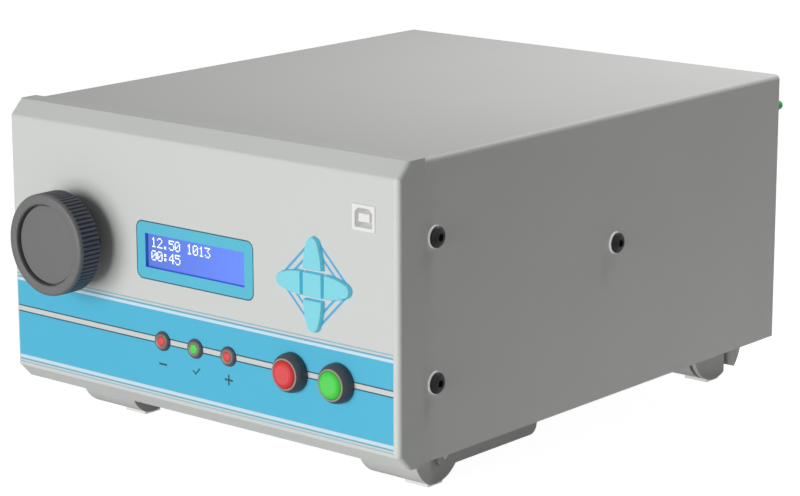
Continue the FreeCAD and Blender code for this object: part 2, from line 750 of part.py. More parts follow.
def make_side_screws():
    seat = HALF_WIDTH + D["washer_thickness"]
    radius, head = D["screw_radius"], D["screw_head_radius"]
    master = turned(
        0, 0, 0, "up",
        (0, -D["screw_length"]),
        (radius, -D["screw_length"]),
        (radius, 0),
        (head, 0),
        (head, D["screw_head_height"] / 4),
        (head / 2, D["screw_head_height"], head * 0.75),
        (0, D["screw_head_height"]),
    )
    key = new_sketch(master, "XY_Plane", D["screw_head_height"])
    flat = D["screw_socket"]
    corner = flat / math.sqrt(3)
    outline(
        key,
        (corner, 0), (corner / 2, flat / 2), (-corner / 2, flat / 2),
        (-corner, 0), (-corner / 2, -flat / 2), (corner / 2, -flat / 2),
    )
    pocket(master, key, D["screw_head_height"] * 0.6)
    inner = radius + 0.2
    ring = turned(
        0, 0, 0, "up",
        (inner, 0), (D["washer_radius"], 0),
        (D["washer_radius"], D["washer_thickness"]), (inner, D["washer_thickness"]),
    )
    screws, washers = [], []
    for side, pointing in ((1, "right"), (-1, "left")):
        for y, z in screw_places():
            screws.append(copy_of(master, seat * side, y, z, pointing))
            washers.append(copy_of(ring, HALF_WIDTH * side, y, z, pointing))
    node(group(screws), "side_screws")
    node(group(washers), "side_screw_washers")


def make_pan_screws(label, places, pointing, radius, length):
    """Small pan-head screws with a cross recess, all pointing one way."""
    master = turned(
        0, 0, 0, "up",
        (0, -length), (radius, -length), (radius, 0), (radius * 1.9, 0),
        (radius * 1.9, radius * 0.7), (radius * 1.3, radius * 1.25), (0, radius * 1.25),
    )
    for turn in (0, 90):
        slot = new_sketch(master, "XY_Plane", radius * 1.25)
        across, along = radius * 0.3, radius * 1.5
        if turn:
            across, along = along, across
        rectangle(slot, 0, 0, across, along)
        pocket(master, slot, radius * 0.6)
    node(group([copy_of(master, x, y, z, pointing) for x, y, z in places]), label)


# Display, keys and sockets

POST_LENGTH = D["display_frame_depth"]


def board_posts(board):
    """Fixing points of the display's and the keypad's boards."""
    if board == "display":
        x, z = D["display_x"], DISPLAY_Z
        across = D["display_board_width"] / 2 - D["post_radius"]
        up = D["display_board_height"] / 2 - D["post_radius"]
    else:
        x, z = D["keypad_x"], KEYPAD_Z
        across = up = D["key_board_half"] - D["post_radius"] * 1.3
    return [(x + across, z + up), (x - across, z + up), (x - across, z - up), (x + across, z - up)]


def make_display():
    x, z = D["display_x"], DISPLAY_Z
    frame = middle_box(
        x, D["front_wall"], z, D["display_frame_width"], D["display_frame_depth"], D["display_frame_height"]
    )
    width, height = D["window_width"] - 0.2, D["window_height"] - 0.2
    depth = D["front_wall"] + D["window_pane"] - D["window_recess"]
    recess = middle_box(x, D["front_wall"] - 1, z, width, D["window_pane"] + 1, height)
    node(cut(frame, recess), "display_frame")
    node(middle_box(x, D["window_recess"], z, width, depth, height), "display_glass")
    back = D["front_wall"] + D["display_frame_depth"]
    board = middle_box(
        x, back, z, D["display_board_width"], D["board_thickness"], D["display_board_height"]
    )
    chips = [
        middle_box(x + D["window_width"] * share, back + D["board_thickness"], z, 9, 2, 9)
        for share in (-0.25, 0.25)
    ]
    node(fuse(board, *chips), "display_board")


def key_piece(label, angle, shape):
    """A cursor key: its face, its passage through the panel and the lip behind it."""
    body = new_body(D["keypad_x"], 0, KEYPAD_Z, FreeCAD.Rotation(FreeCAD.Vector(0, 1, 0), angle))
    face = new_sketch(body, "XZ_Plane", D["label_thickness"] + D["key_proud"])
    shape(face, 0)
    pad(body, face, D["key_proud"] + D["label_thickness"] + D["front_wall"], reverse=True)
    top = number_of(D["label_thickness"] + D["key_proud"])
    soften(body, D["key_round"], lambda edge: abs(edge.BoundBox.YMin + top) + edge.BoundBox.YLength < 1e-4)
    lip = new_sketch(body, "XZ_Plane", -D["front_wall"])
    shape(lip, D["key_gap"] / 2 - 0.2)
    pad(body, lip, D["key_flange"], reverse=True)
    node(body, label)


def square_key(sketch, clearance):
    side = (D["key_half"] + clearance) * 2
    rectangle(sketch, 0, 0, side, side)


def make_keypad():
    for label, angle in (("key_up", 0), ("key_right", 90), ("key_down", 180), ("key_left", 270)):
        key_piece(label, angle, petal)
    key_piece("key_centre", 0, square_key)
    x, z = D["keypad_x"], KEYPAD_Z
    front = D["front_wall"] + POST_LENGTH
    side = D["key_board_half"] * 2
    board = middle_box(x, front, z, side, D["board_thickness"], side)
    face = D["front_wall"] + D["key_flange"] + D["key_travel"] + 0.2
    reach, wide, rise = D["key_switch"], D["switch_side"], D["switch_rise"]
    switches = []
    for across, up in ((0, 0), (0, 1), (0, -1), (1, 0), (-1, 0)):
        spot_x, spot_z = x + reach * across, z + reach * up
        switches.append(middle_box(spot_x, front - rise, spot_z, wide, rise, wide))
        switches.append(rod(spot_x, face, spot_z, D["plunger_radius"], front - rise - face, "back"))
    node(fuse(board, *switches), "keypad_board")


def make_usb_socket():
    proud, depth, wall = D["usb_proud"], D["usb_depth"], D["front_wall"]
    body = new_body(USB_X, 0, USB_Z)
    face = new_sketch(body, "XZ_Plane", proud)
    rectangle(face, 0, 0, D["usb_width"], D["usb_height"])
    pad(body, face, depth, reverse=True)
    flange = new_sketch(body, "XZ_Plane", -wall)
    rectangle(flange, 0, 0, D["usb_width"] + wall * 2, D["usb_height"] + wall * 2)
    pad(body, flange, wall / 2, reverse=True)
    mouth = new_sketch(body, "XZ_Plane", proud)
    half, high, corner = D["usb_mouth_half"], D["usb_mouth_high"], D["usb_mouth_corner"]
    cut_corner_mouth(mouth, half, high, corner)
    pocket(body, mouth, D["usb_mouth_depth"])
    tongue = new_sketch(body, "XZ_Plane", proud - D["usb_mouth_depth"] - 0.5)
    rectangle(tongue, 0, 0, D["usb_tongue_width"], D["usb_tongue_height"])
    pad(body, tongue, D["usb_mouth_depth"])
    node(body, "usb_socket")


def cut_corner_mouth(sketch, half, high, corner):
    """The mouth of a socket whose two upper corners are cut off."""
    outline(
        sketch, (-half, -high), (half, -high), (half, high - corner),
        (half - corner, high), (corner - half, high), (-half, high - corner),
    )


def make_lamps():
    names = (("lamp_low", -1), ("lamp_pass", 0), ("lamp_high", 1))
    barrel, bore, shelf = D["lamp_barrel"], D["lens_radius"] + 0.1, 0.8
    length, height, crown = D["lamp_length"], D["lamp_height"], D["lamp_crown"]
    for label, step in names:
        x = D["lamp_x"] + D["lamp_pitch"] * step
        bezel = turned(
            x, FILM_FACE, D["lamp_z"], "front",
            (bore - shelf, -length), (barrel, -length), (barrel, 0), (D["lamp_radius"], 0),
            (D["lamp_radius"], height / 3), (crown, height, height), (bore, height * 0.8),
            (bore, shelf * 2 - length), (bore - shelf, shelf * 2 - length),
        )
        node(bezel, f"{label}_bezel")
        edge = height * 0.85
        lens = turned(
            x, FILM_FACE, D["lamp_z"], "front",
            (0, shelf * 2 - length), (D["lens_radius"], shelf * 2 - length), (D["lens_radius"], edge),
            (0, edge + D["lens_height"], dome(D["lens_radius"], D["lens_height"])),
        )
        node(lens, f"{label}_lens")


def make_push_buttons():
    inner = D["cap_radius"] + D["cap_clearance"]
    seat = D["cap_travel"] * 2
    crown = inner + 0.55
    height, length, proud = D["button_height"], D["button_length"], D["cap_proud"]
    places = [D["button_x"] + D["button_pitch"] * step for step in (0, 1)]
    for x, name in zip(places, ("stop_button", "start_button")):
        bezel = turned(
            x, FILM_FACE, D["button_z"], "front",
            (0, -length), (D["button_barrel"], -length), (D["button_barrel"], 0), (D["button_radius"], 0),
            (D["button_radius"], height / 4), (crown, height, D["button_radius"] * 0.6),
            (inner, height), (inner, -seat), (0, -seat),
        )
        node(bezel, f"{name}_bezel")
        low = D["cap_travel"] + 0.3 - seat
        cap = turned(
            x, FILM_FACE, D["button_z"], "front",
            (0, low), (D["cap_radius"], low), (D["cap_radius"], height - 0.2),
            (D["cap_top_radius"], height + proud, (D["cap_radius"] - D["cap_top_radius"]) * 1.15),
            (0, height + proud),
        )
        node(cap, f"{name}_cap")
    reach, thick = D["button_radius"] * 2.2, D["nut_thickness"] * 0.75
    nuts = [
        cut(
            hexagon(x, D["front_wall"], D["button_z"], reach, thick, "back"),
            rod(x, D["front_wall"] - 1, D["button_z"], D["button_barrel"] + 0.1, thick + 2, "back"),
        )
        for x in places
    ]
    node(group(nuts), "button_nuts")


# Regulator


def make_regulator():
    x, z = KNOB_X, KNOB_Z
    reach, depth, radius = D["knob_reach"], D["knob_depth"], D["knob_radius"]
    bore = D["spindle_radius"] + D["running_gap"]
    nut_face = D["nut_thickness"] - FILM_FACE
    hub_back, back = nut_face + 0.35, reach - depth
    ring, dish = radius - D["knob_rim"], reach - D["knob_dish"]
    gap, channel = D["knob_channel"], dish - D["knob_channel_depth"]
    blind = dish - 2.3
    knob = turned(
        x, 0, z, "front",
        (bore, hub_back), (D["hub_radius"], hub_back), (D["hub_radius"], dish - 3),
        (radius - 3, dish - 3), (radius - 3, back), (radius - 1, back), (radius, back + 1),
        (radius, reach - 1.5), (radius - 1.5, reach, 1.5), (ring + 1, reach), (ring, reach - 1, 1),
        (ring, channel), (ring - gap, channel), (ring - gap, dish), (0, dish), (0, blind), (bore, blind),
    )
    groove = new_sketch(knob, "XY_Plane")
    cut_depth = D["knob_groove"]
    outline(groove, (radius - cut_depth, 0), (radius + 0.2, -cut_depth), (radius + 0.2, cut_depth))
    first = pocket(knob, groove, reach - 2, reverse=True)
    ribs = knob.newObject("PartDesign::PolarPattern", "Ribs")
    ribs.Originals = [first]
    ribs.Axis = (groove, ["N_Axis"])
    ribs.Angle = 360
    bind(ribs, "Occurrences", D["knob_ribs"])
    knob.Tip = ribs
    node(knob, "regulator_knob")
    spindle_back = 12
    spindle = turned(
        x, 0, z, "front",
        (0, -spindle_back), (D["spindle_radius"], -spindle_back),
        (D["spindle_radius"], blind - 0.5), (D["spindle_radius"] - 0.5, blind), (0, blind),
    )
    node(spindle, "regulator_spindle")
    neck, wall = D["neck_radius"], D["front_wall"]
    bonnet_back = wall + 3 + D["bonnet_length"]
    bonnet = turned(
        x, 0, z, "front",
        (0, -bonnet_back), (D["bonnet_radius"], -bonnet_back), (D["bonnet_radius"], -wall - 7),
        (neck + 5, -wall - 3), (neck + 5, -wall), (neck, -wall), (neck, nut_face),
        (bore, nut_face), (bore, -spindle_back - 0.5), (0, -spindle_back - 0.5),
    )
    block = middle_box(x, bonnet_back, z, D["valve_block"], D["valve_block_depth"], D["valve_block"])
    stub_y = bonnet_back + D["valve_block_depth"] / 2
    stub = rod(x + D["valve_block"] / 2, stub_y, z, 6, 7, "right")
    rear_stub = rod(x, bonnet_back + D["valve_block_depth"], z, 6, 7, "back")
    node(fuse(bonnet, block, stub, rear_stub), "regulator_body")
    nut = cut(
        hexagon(x, FILM_FACE, z, D["nut_across_flats"], D["nut_thickness"], "front"),
        rod(x, FILM_FACE + 1, z, neck + 0.1, D["nut_thickness"] + 2, "front"),
    )
    node(nut, "regulator_panel_nut")


# Feet and tilt legs


def drum(x, y, radius, length):
    """The half drum of a foot, hanging under the base."""
    whole = rod(x, y, COVER_BOTTOM, radius, length, "right")
    return common(whole, box(x, y - radius, COVER_BOTTOM - radius, length, radius * 2, radius))


def make_feet():
    low, radius = COVER_BOTTOM, D["foot_radius"]
    pad_length, pad_width = D["pad_length"], D["pad_width"]
    pads, screw_spots = [], []
    for name, x, y in foot_places():
        body = front_foot(x, y) if name.startswith("front") else rear_foot(x, y)
        start, front = x + D["pad_shift"] - pad_length / 2, y - pad_width / 2
        sunk = D["pad_thickness"] - D["pad_proud"]
        bed = box(start, front, low - radius - 1, pad_length, pad_width, sunk + 1)
        well = rod(x, y, low - radius, D["foot_well"], radius - 4)
        shaft = rod(x, y, low - radius, D["foot_hole"], radius + 1)
        node(cut(body, bed, well, shaft), f"foot_{name}")
        pads.append(
            box(start, front, low - radius - D["pad_proud"], pad_length, pad_width, D["pad_thickness"])
        )
        screw_spots.append((x, y, low - 4))
    node(group(pads), "foot_pads")
    make_pan_screws("foot_screws", screw_spots, "down", D["foot_thread"], D["foot_screw_length"])


def front_foot(x, y):
    """A half drum, recessed at both ends for the arms of its tilt leg."""
    low, radius, length = COVER_BOTTOM, D["foot_radius"], D["foot_length"]
    left, arm = x - D["foot_left"], D["arm_thickness"] + D["leg_gap"]
    front = y - D["recess_start"]
    notches = [
        box(start, front, low - radius - 1, arm + 1, radius * 2, radius + 2)
        for start in (left - 1, left + length - arm)
    ]
    bores = leg_pins(left, y, D["pin_radius"] + D["running_gap"])
    return cut(drum(left, y, radius, length), fuse(*notches), group(bores))


def leg_pins(left, y, radius):
    """The two pins of a tilt leg, or their bores."""
    run, length = D["pin_length"], D["foot_length"]
    y, z = y + D["leg_pivot_y"], COVER_BOTTOM - D["leg_pivot_drop"]
    return [rod(start, y, z, radius, run, "right") for start in (left, left + length - run)]


def rear_foot(x, y):
    """A half drum with a cheek and a stop block in front of its right end."""
    low, radius, length = COVER_BOTTOM, D["foot_radius"], D["foot_length"]
    left = x - D["foot_left"]
    cheek, gap = D["cheek_thickness"], D["cheek_gap"]
    inner = left + length - cheek - gap * 2
    body = drum(left, y, radius, inner - left)
    whole = drum(inner - 1, y, radius, cheek + gap + 1 + D["stop_proud"])
    face = box(inner + gap, y - radius, low - radius, cheek, radius + D["cheek_reach"], radius)
    web = box(inner - 1, y - 3, low - radius * 0.6, gap + 2, 6, radius * 0.6)
    reach = cheek + gap + 1 + D["stop_proud"]
    stop = box(inner - 1, y + D["stop_start"], low - radius, reach, radius, radius)
    return fuse(body, common(whole, fuse(face, web, stop)))


def make_tilt_legs():
    pivot_y = D["front_foot_y"] + D["leg_pivot_y"]
    pivot_z = COVER_BOTTOM - D["leg_pivot_drop"]
    half, thick, length = D["arm_height"] / 2, D["arm_thickness"], D["foot_length"]
    pins = []
    for name, screw_x, _ in foot_places()[:2]:
        x = screw_x - D["foot_left"]
        tip_y = pivot_y + D["leg_length"] - half
        pieces = [rod(x, tip_y, pivot_z, half, length, "right")]
        for start in (x, x + length - thick):
            pieces.append(box(start, pivot_y, pivot_z - half, thick, tip_y - pivot_y, half * 2))
            pieces.append(rod(start, pivot_y, pivot_z, half, thick, "right"))
        y, wall = pivot_y + D["leg_web_start"], D["leg_wall"]
        inner, width, run = x + thick, length - thick * 2, tip_y - y
        pieces.append(box(inner, y, pivot_z - half, width, run, wall))
        pieces.append(box(inner, y, pivot_z - half, width, wall, half * 2))
        pieces.append(box(x + (length - wall) / 2, y, pivot_z - half, wall, run, half * 2))
        hole = rod(x, pivot_y, pivot_z, D["pin_radius"] + D["running_gap"], length, "right")
        node(cut(fuse(*pieces), hole), f"tilt_leg_{name[6:]}")
        pins += leg_pins(x, D["front_foot_y"], D["pin_radius"])
    node(group(pins), "tilt_leg_pins")


# Rear connectors


def make_mains_inlet():
    x, z, margin = INLET_X, D["inlet_z"], D["flange_margin"]
    width, height, depth = D["inlet_width"], D["inlet_height"], D["inlet_depth"]
    flange = D["flange_thickness"]
    body = new_body(x, PANEL_BACK, z)
    face = new_sketch(body, "XZ_Plane")
    rectangle(face, 0, 0, width + margin * 2, height + margin * 2)
    pad(body, face, flange, reverse=True)
    barrel = new_sketch(body, "XZ_Plane")
    rectangle(barrel, 0, 0, width, height)
    pad(body, barrel, depth)
    mouth = new_sketch(body, "XZ_Plane", -flange)
    cut_corner_mouth(mouth, width / 2 - 1.5, height / 2 - 2, D["inlet_corner"])
    pocket(body, mouth, depth - 3, reverse=True)
    across, up, tag = D["pin_width"], D["pin_height"], D["pin_tag"]
    slots = new_sketch(body, "XZ_Plane", depth)
    spots = ((0, up * 0.75), (-D["pin_spacing"], -up * 0.4), (D["pin_spacing"], -up * 0.4))
    for step, rise in spots:
        rectangle(slots, step, rise, across, up)
    pocket(body, slots, depth / 2, reverse=False)
    node(body, "mains_inlet")
    start = PANEL_BACK - depth - tag
    pins = [middle_box(x + step, start, z + rise, across, depth - 2 + tag, up) for step, rise in spots]
    node(group(pins), "inlet_pins")


def make_mains_switch():
    x, z, margin = SWITCH_X, D["inlet_z"], D["flange_margin"]
    width, height, flange = D["switch_width"], D["switch_height"], D["flange_thickness"]
    body = new_body(x, PANEL_BACK, z)
    face = new_sketch(body, "XZ_Plane")
    rectangle(face, 0, 0, width + margin * 2, height + margin * 2)
    pad(body, face, flange, reverse=True)
    barrel = new_sketch(body, "XZ_Plane")
    rectangle(barrel, 0, 0, width, height)
    pad(body, barrel, D["switch_depth"])
    well = new_sketch(body, "XZ_Plane", -flange)
    rectangle(well, 0, 0, width - 2, height - 2)
    pocket(body, well, flange + 8, reverse=True)
    bearing = new_sketch(body, "YZ_Plane")
    circle(bearing, D["rocker_axis"], 0, D["rocker_pin"] + D["running_gap"])
    pocket(body, bearing, width, both=True)
    node(body, "mains_switch_body")
    tilt = number_of(D["rocker_tilt"])
    lean = FreeCAD.Rotation(FreeCAD.Vector(1, 0, 0), tilt)
    rocker = new_body(x, PANEL_BACK + D["rocker_axis"], z, lean)
    side = new_sketch(rocker, "YZ_Plane")
    reach = height / 2 - 1.8
    outline(
        side, (-2, -3.5), (2.6, -reach), (5.2, -reach + 0.4), (3.6, 0),
        (5.2, reach - 0.4), (2.6, reach), (-2, 3.5),
    )
    pad(rocker, side, width - 2.8, both=True)
    pin = new_sketch(rocker, "YZ_Plane")
    circle(pin, 0, 0, D["rocker_pin"])
    pad(rocker, pin, width - 0.4, both=True)
    node(rocker, "mains_switch_rocker")


def make_connector(label, x, width, spacing):
    z, height = D["connector_z"], D["shell_height"]
    body = new_body(x, PANEL_BACK, z)
    plate = new_sketch(body, "XZ_Plane")
    rectangle(plate, 0, 0, width + 14, height + 4)
    pad(body, plate, 1, reverse=True)
    shell = new_sketch(body, "XZ_Plane")
    low, high = width / 2 - 1.5, width / 2
    outline(shell, (-low, -height / 2), (low, -height / 2), (high, height / 2), (-high, height / 2))
    pad(body, shell, 6, reverse=True)
    mouth = new_sketch(body, "XZ_Plane", -6)
    outline(
        mouth,
        (0.5 - low, 0.5 - height / 2), (low - 0.5, 0.5 - height / 2),
        (high - 0.5, height / 2 - 0.5), (0.5 - high, height / 2 - 0.5),
    )
    pocket(body, mouth, 0.8, reverse=True)
    rear = new_sketch(body, "XZ_Plane")
    rectangle(rear, 0, 0, width + 2.6, height + 2)
    pad(body, rear, 9)
    posts = new_sketch(body, "XZ_Plane", -1)
    threads = new_sketch(body, "XZ_Plane", -6)
    for side in (-1, 1):
        circle(posts, spacing / 2 * side, 0, 2.4)
        circle(threads, spacing / 2 * side, 0, D["post_thread"])
    pad(body, posts, 5, reverse=True)
    pocket(body, threads, 5, reverse=True)
    node(body, label)


def make_ports():
    for label, x, z, bore in (
        ("supply_port", SUPPLY_X, SUPPLY_Z, D["supply_bore"] + 0.1),
        ("test_port", PORT_X, PORT_Z, D["port_bore"]),
    ):
        radius, length = D["port_radius"], D["port_length"]
        body = turned(
            x, PANEL_BACK, z, "back",
            (bore, -18), (radius - 1.2, -18), (radius - 1.2, 0), (radius, 0),
            (radius, length - 1.5), (radius - 0.8, length - 0.7), (bore + 1.4, length - 0.7),
            (bore + 1.2, length), (bore, length),
        )
        collar = cut(
            hexagon(x, PANEL_BACK, z, radius * 2.3, 4.5, "back"),
            rod(x, PANEL_BACK - 1, z, radius - 0.5, 7, "back"),
        )
        nut = cut(
            hexagon(x, PANEL_FRONT, z, radius * 2.3, 3, "front"),
            rod(x, PANEL_FRONT + 1, z, radius - 1.5, 5, "front"),
        )
        node(fuse(body, collar, nut), label)
    reach = D["plug_tip"] + D["rear_recess"]
    radius = D["port_bore"] - D["running_gap"]
    plug = turned(
        PORT_X, PANEL_BACK, PORT_Z, "back",
        (0, -6), (radius, -6), (radius, reach - radius), (0, reach, radius),
    )
    node(plug, "transit_plug")


# Inside of the case


def make_main_board():
    x, y = BOARD_X, BOARD_Y
    width, length = D["board_width"], D["board_length"]
    low = FLOOR + D["pillar_height"]
    top = low + D["board_thickness"]
    board = box(x - width / 2, y - length / 2, low, width, length, D["board_thickness"])
    parts = [
        box(x - 14, y - 10, top, 20, 20, 3),
        box(x + 18, y + 20, top, 10, 22, 4),
        box(x - 40, y + 40, top, 30, 14, 12),
        box(x + 16, y - 60, top, 22, 26, 14),
        rod(x - 36, y - 40, top, 6, 16),
        rod(x - 22, y - 40, top, 6, 16),
        box(x - 44, y + 66, top, 60, 8, 9),
    ]
    node(fuse(board, *parts), "main_board")
    across, along = width / 2 - D["pillar_inset"], length / 2 - D["pillar_inset"]
    pillars = [
        rod(x + across * a, y + along * b, FLOOR, D["pillar_radius"], D["pillar_height"])
        for a in (-1, 1) for b in (-1, 1)
    ]
    node(group(pillars), "board_pillars")


def make_supply_unit():
    width, length, height = D["supply_unit_width"], D["supply_unit_length"], D["supply_unit_height"]
    x, y = D["supply_unit_side"] + width / 2 - RAIL_FACE, PANEL_FRONT - D["supply_unit_back"]
    case = box(x - width / 2, y - length / 2, FLOOR, width, length, height)
    terminals = box(x - width / 2 + 4, y + length / 2, FLOOR + 4, width - 8, 9, 12)
    vents = [
        box(x - width / 2 + 8, y - length / 2 + 12 + 8 * step, FLOOR + height - 1.5, width - 16, 3, 3)
        for step in range(8)
    ]
    node(cut(fuse(case, terminals), group(vents)), "power_supply")


def make_flow_element():
    x, y, z = RAIL_FACE - D["element_side"], D["element_y"], D["element_z"]
    half, tube, ring = D["element_length"] / 2, D["element_radius"], D["cap_ring_radius"]
    cap = 18
    element = turned(
        x, y, z, "back",
        (0, -half - 10), (6, -half - 10), (6, -half), (ring, -half), (ring, cap - half),
        (tube, cap - half), (tube, half - cap), (ring, half - cap), (ring, half), (6, half),
        (6, half + 10), (0, half + 10),
    )
    taps = [rod(x, y + (half - 9) * side, z + ring - 1, 3, 9) for side in (-1, 1)]
    node(fuse(element, *taps), "flow_element")
    clamps = []
    for side in (-1, 1):
        start = y + D["element_length"] * 0.25 * side - D["clamp_width"] / 2
        block = box(x - tube - 4, start, z - tube - 4, RAIL_FACE - x + tube + 4, D["clamp_width"], tube * 2 + 8)
        clamps.append(cut(block, rod(x, start - 1, z, tube + D["running_gap"], D["clamp_width"] + 2, "back")))
    node(group(clamps), "flow_element_clamps")


def make_sensor_and_valve():
    x, y = BOARD_X + 14, BOARD_Y - 8
    top = FLOOR + D["pillar_height"] + D["board_thickness"]
    case = box(x, y, top, 24, 22, 14)
    ports = [rod(x + 7 + 10 * step, y + 11, top + 14, 2, 9) for step in (0, 1)]
    node(fuse(case, *ports), "pressure_sensor")
    x, y = D["valve_side"] - RAIL_FACE, PANEL_FRONT - D["valve_back"]
    body = box(x - 14, y, FLOOR, 28, 34, 26)
    coil = box(x - 11, y + 4, FLOOR + 26, 22, 26, 30)
    stubs = [rod(x - 14, y + 17, FLOOR + 13, 5, 7, "left"), rod(x + 14, y + 17, FLOOR + 13, 5, 7, "right")]
    node(fuse(body, coil, *stubs), "solenoid_valve")


def check_document():
    """Stop if any object failed or any sub-part has no valid shape."""
    doc.recompute()
    for item in doc.Objects:
        if "Invalid" in item.State or "Error" in item.State:
            raise RuntimeError(f"{item.Label} failed: {item.State}")
    for item in node_objects:
        if item.Shape.isNull() or not item.Shape.isValid() or not item.Shape.Solids:
            raise RuntimeError(f"{item.Label} has no valid solid")


def write_parts():
    os.makedirs("parts", exist_ok=True)
    for item in node_objects:
        item.Shape.exportStep(os.path.join("parts", f"{item.Label}.step"))


make_front_bezel()
make_front_label()
make_case_cover()
make_base_plate()
make_side_rail(-1, "side_rail_left")
make_side_rail(1, "side_rail_right")
make_rear_panel()
make_side_screws()
make_pan_screws(
    "rear_panel_screws",
    [(x, PANEL_BACK, z) for x, z in rear_screw_places()],
    "back",
    D["panel_thread"],
    D["panel_screw_length"],
)
make_display()
make_keypad()
make_usb_socket()
make_lamps()
make_push_buttons()
make_regulator()
make_feet()
make_tilt_legs()
make_mains_inlet()
make_mains_switch()
make_connector("serial_connector", D["serial_x"], D["serial_width"], D["serial_posts"])
make_connector("signal_connector", D["signal_x"], D["signal_width"], D["signal_posts"])
make_ports()
make_main_board()
make_supply_unit()
make_flow_element()
make_sensor_and_valve()
check_document()
write_parts()
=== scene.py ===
import math

import bmesh
import bpy
from bpy.props import FloatProperty, FloatVectorProperty, PointerProperty, StringProperty
from mathutils import Matrix, Vector


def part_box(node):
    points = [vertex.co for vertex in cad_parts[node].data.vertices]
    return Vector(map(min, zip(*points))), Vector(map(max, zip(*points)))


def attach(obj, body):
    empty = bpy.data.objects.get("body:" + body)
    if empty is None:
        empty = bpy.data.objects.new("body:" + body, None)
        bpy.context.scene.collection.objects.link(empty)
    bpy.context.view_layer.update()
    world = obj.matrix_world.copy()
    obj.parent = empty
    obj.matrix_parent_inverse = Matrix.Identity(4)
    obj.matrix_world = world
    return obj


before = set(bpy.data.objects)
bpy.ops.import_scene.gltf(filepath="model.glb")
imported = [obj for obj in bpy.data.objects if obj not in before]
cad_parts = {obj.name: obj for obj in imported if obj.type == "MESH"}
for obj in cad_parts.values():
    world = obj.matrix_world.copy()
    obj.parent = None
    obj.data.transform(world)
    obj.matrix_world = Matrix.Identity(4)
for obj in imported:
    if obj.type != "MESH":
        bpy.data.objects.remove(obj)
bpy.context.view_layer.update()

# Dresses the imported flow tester: a finish for every sub-part, the printed front film, the display's
# figures, the contacts of two connectors, and a plain studio.

bl_info = {
    "name": "Flow Tester Finish",
    "version": (1, 0, 0),
    "blender": (4, 5, 0),
    "location": "View3D > Sidebar > Flow Tester",
    "description": "Finishes, printed front and small trim of a bench flow tester",
    "category": "Object",
}

MM = 0.001
BEZEL_LOW, BEZEL_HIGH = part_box("front_bezel")
BASE_Z = BEZEL_LOW.z
FRONT_Y = BEZEL_LOW.y

BLACK = (0.0, 0.0, 0.0)
WHITE = (1.0, 1.0, 1.0)
PALE = (0.9, 0.9, 0.9)
# The display's blue light, painted on the walls of its window.
DISPLAY_LIGHT_PAINTED_BLUE = (0.060, 0.240, 0.720)
# A blue glow painted on the key walls: painted light.
KEY_WALL_PAINTED_GLOW = (0.010, 0.210, 0.330)
# Painted shade on the knob's rim, tinted blue, and a painted highlight on its rib crests.
KNOB_RIM_PAINTED_SHADE = (0.045, 0.052, 0.075)
KNOB_CREST_PAINTED_HIGHLIGHT = (0.085, 0.092, 0.115)
LAMP_SEAT_BROWN = (0.230, 0.195, 0.165)
# A painted highlight on the top edge of the button bezels.
BUTTON_RING_PAINTED_HIGHLIGHT = (0.30, 0.28, 0.25)

# Rules beside the blue field: nearer and farther edge from the field's own edge in mm, and ink.
RULES_ABOVE = ((0.1, 1.3, "pale_rule"), (1.4, 2.2, "rule"), (3.1, 3.7, "hairline"))
RULES_BELOW = ((0.3, 1.5, "pale_rule"), (1.7, 2.4, "rule"), (3.2, 3.7, "hairline"))

# The marks stand this far left of their lamps. The tick's corner is below the marks' middle line,
# and its two ends are right of and above that corner.
MARK_SHIFT = 0.4 * MM
PLUS_SHIFT = 0.3 * MM
TICK_DROP = 0.9 * MM
TICK_LEFT = (-1.3 * MM, 1.2 * MM)
TICK_RIGHT = (2.5 * MM, 2.6 * MM)

# The display's dots.
DOT_THICKNESS = 0.06 * MM
FIGURES_RAISED = 0.3 * MM

# The connectors' pins: how far in the tip lies, the sides round a pin, and its rings from the front
# end to the tip, each with its distance from the tip in mm and its share of the pin's radius.
CONTACT_INSET = 0.6 * MM
PIN_SIDES = 12
PIN_RINGS = ((4.6, 1.0), (0.3, 1.0), (0.08786, 0.80944), (0.0, 0.37884))

# The stage, in metres.
FLOOR_HALF = 4.0
FLOOR_DROP = 0.0002
KEY_PLACE = Vector((-0.13, -0.95, 0.07))
PANEL_PLACE = Vector((0.15, 0.50, 0.85))
PANEL_TARGET = Vector((0.12, 0.10, 0.13))


# Properties


def length(name, description, default):
    """A size in metres, written here in millimetres."""
    return FloatProperty(
        name=name, description=description, default=default * MM, unit="LENGTH", precision=5
    )


def angle(name, description, default):
    """An angle in radians, written here in degrees."""
    return FloatProperty(
        name=name, description=description, default=math.radians(default), subtype="ANGLE"
    )


def number(name, description, default):
    """A plain number."""
    return FloatProperty(name=name, description=description, default=default)


def figures(name, description, default):
    """Characters for the display, each of which is in GLYPHS."""
    return StringProperty(name=name, description=description, default=default)


def colour(name, description, default):
    """A colour, as red, green and blue from 0 to 1."""
    return FloatVectorProperty(
        name=name, description=description, default=default,
        subtype="COLOR", size=3, min=0.0, max=1.0,
    )


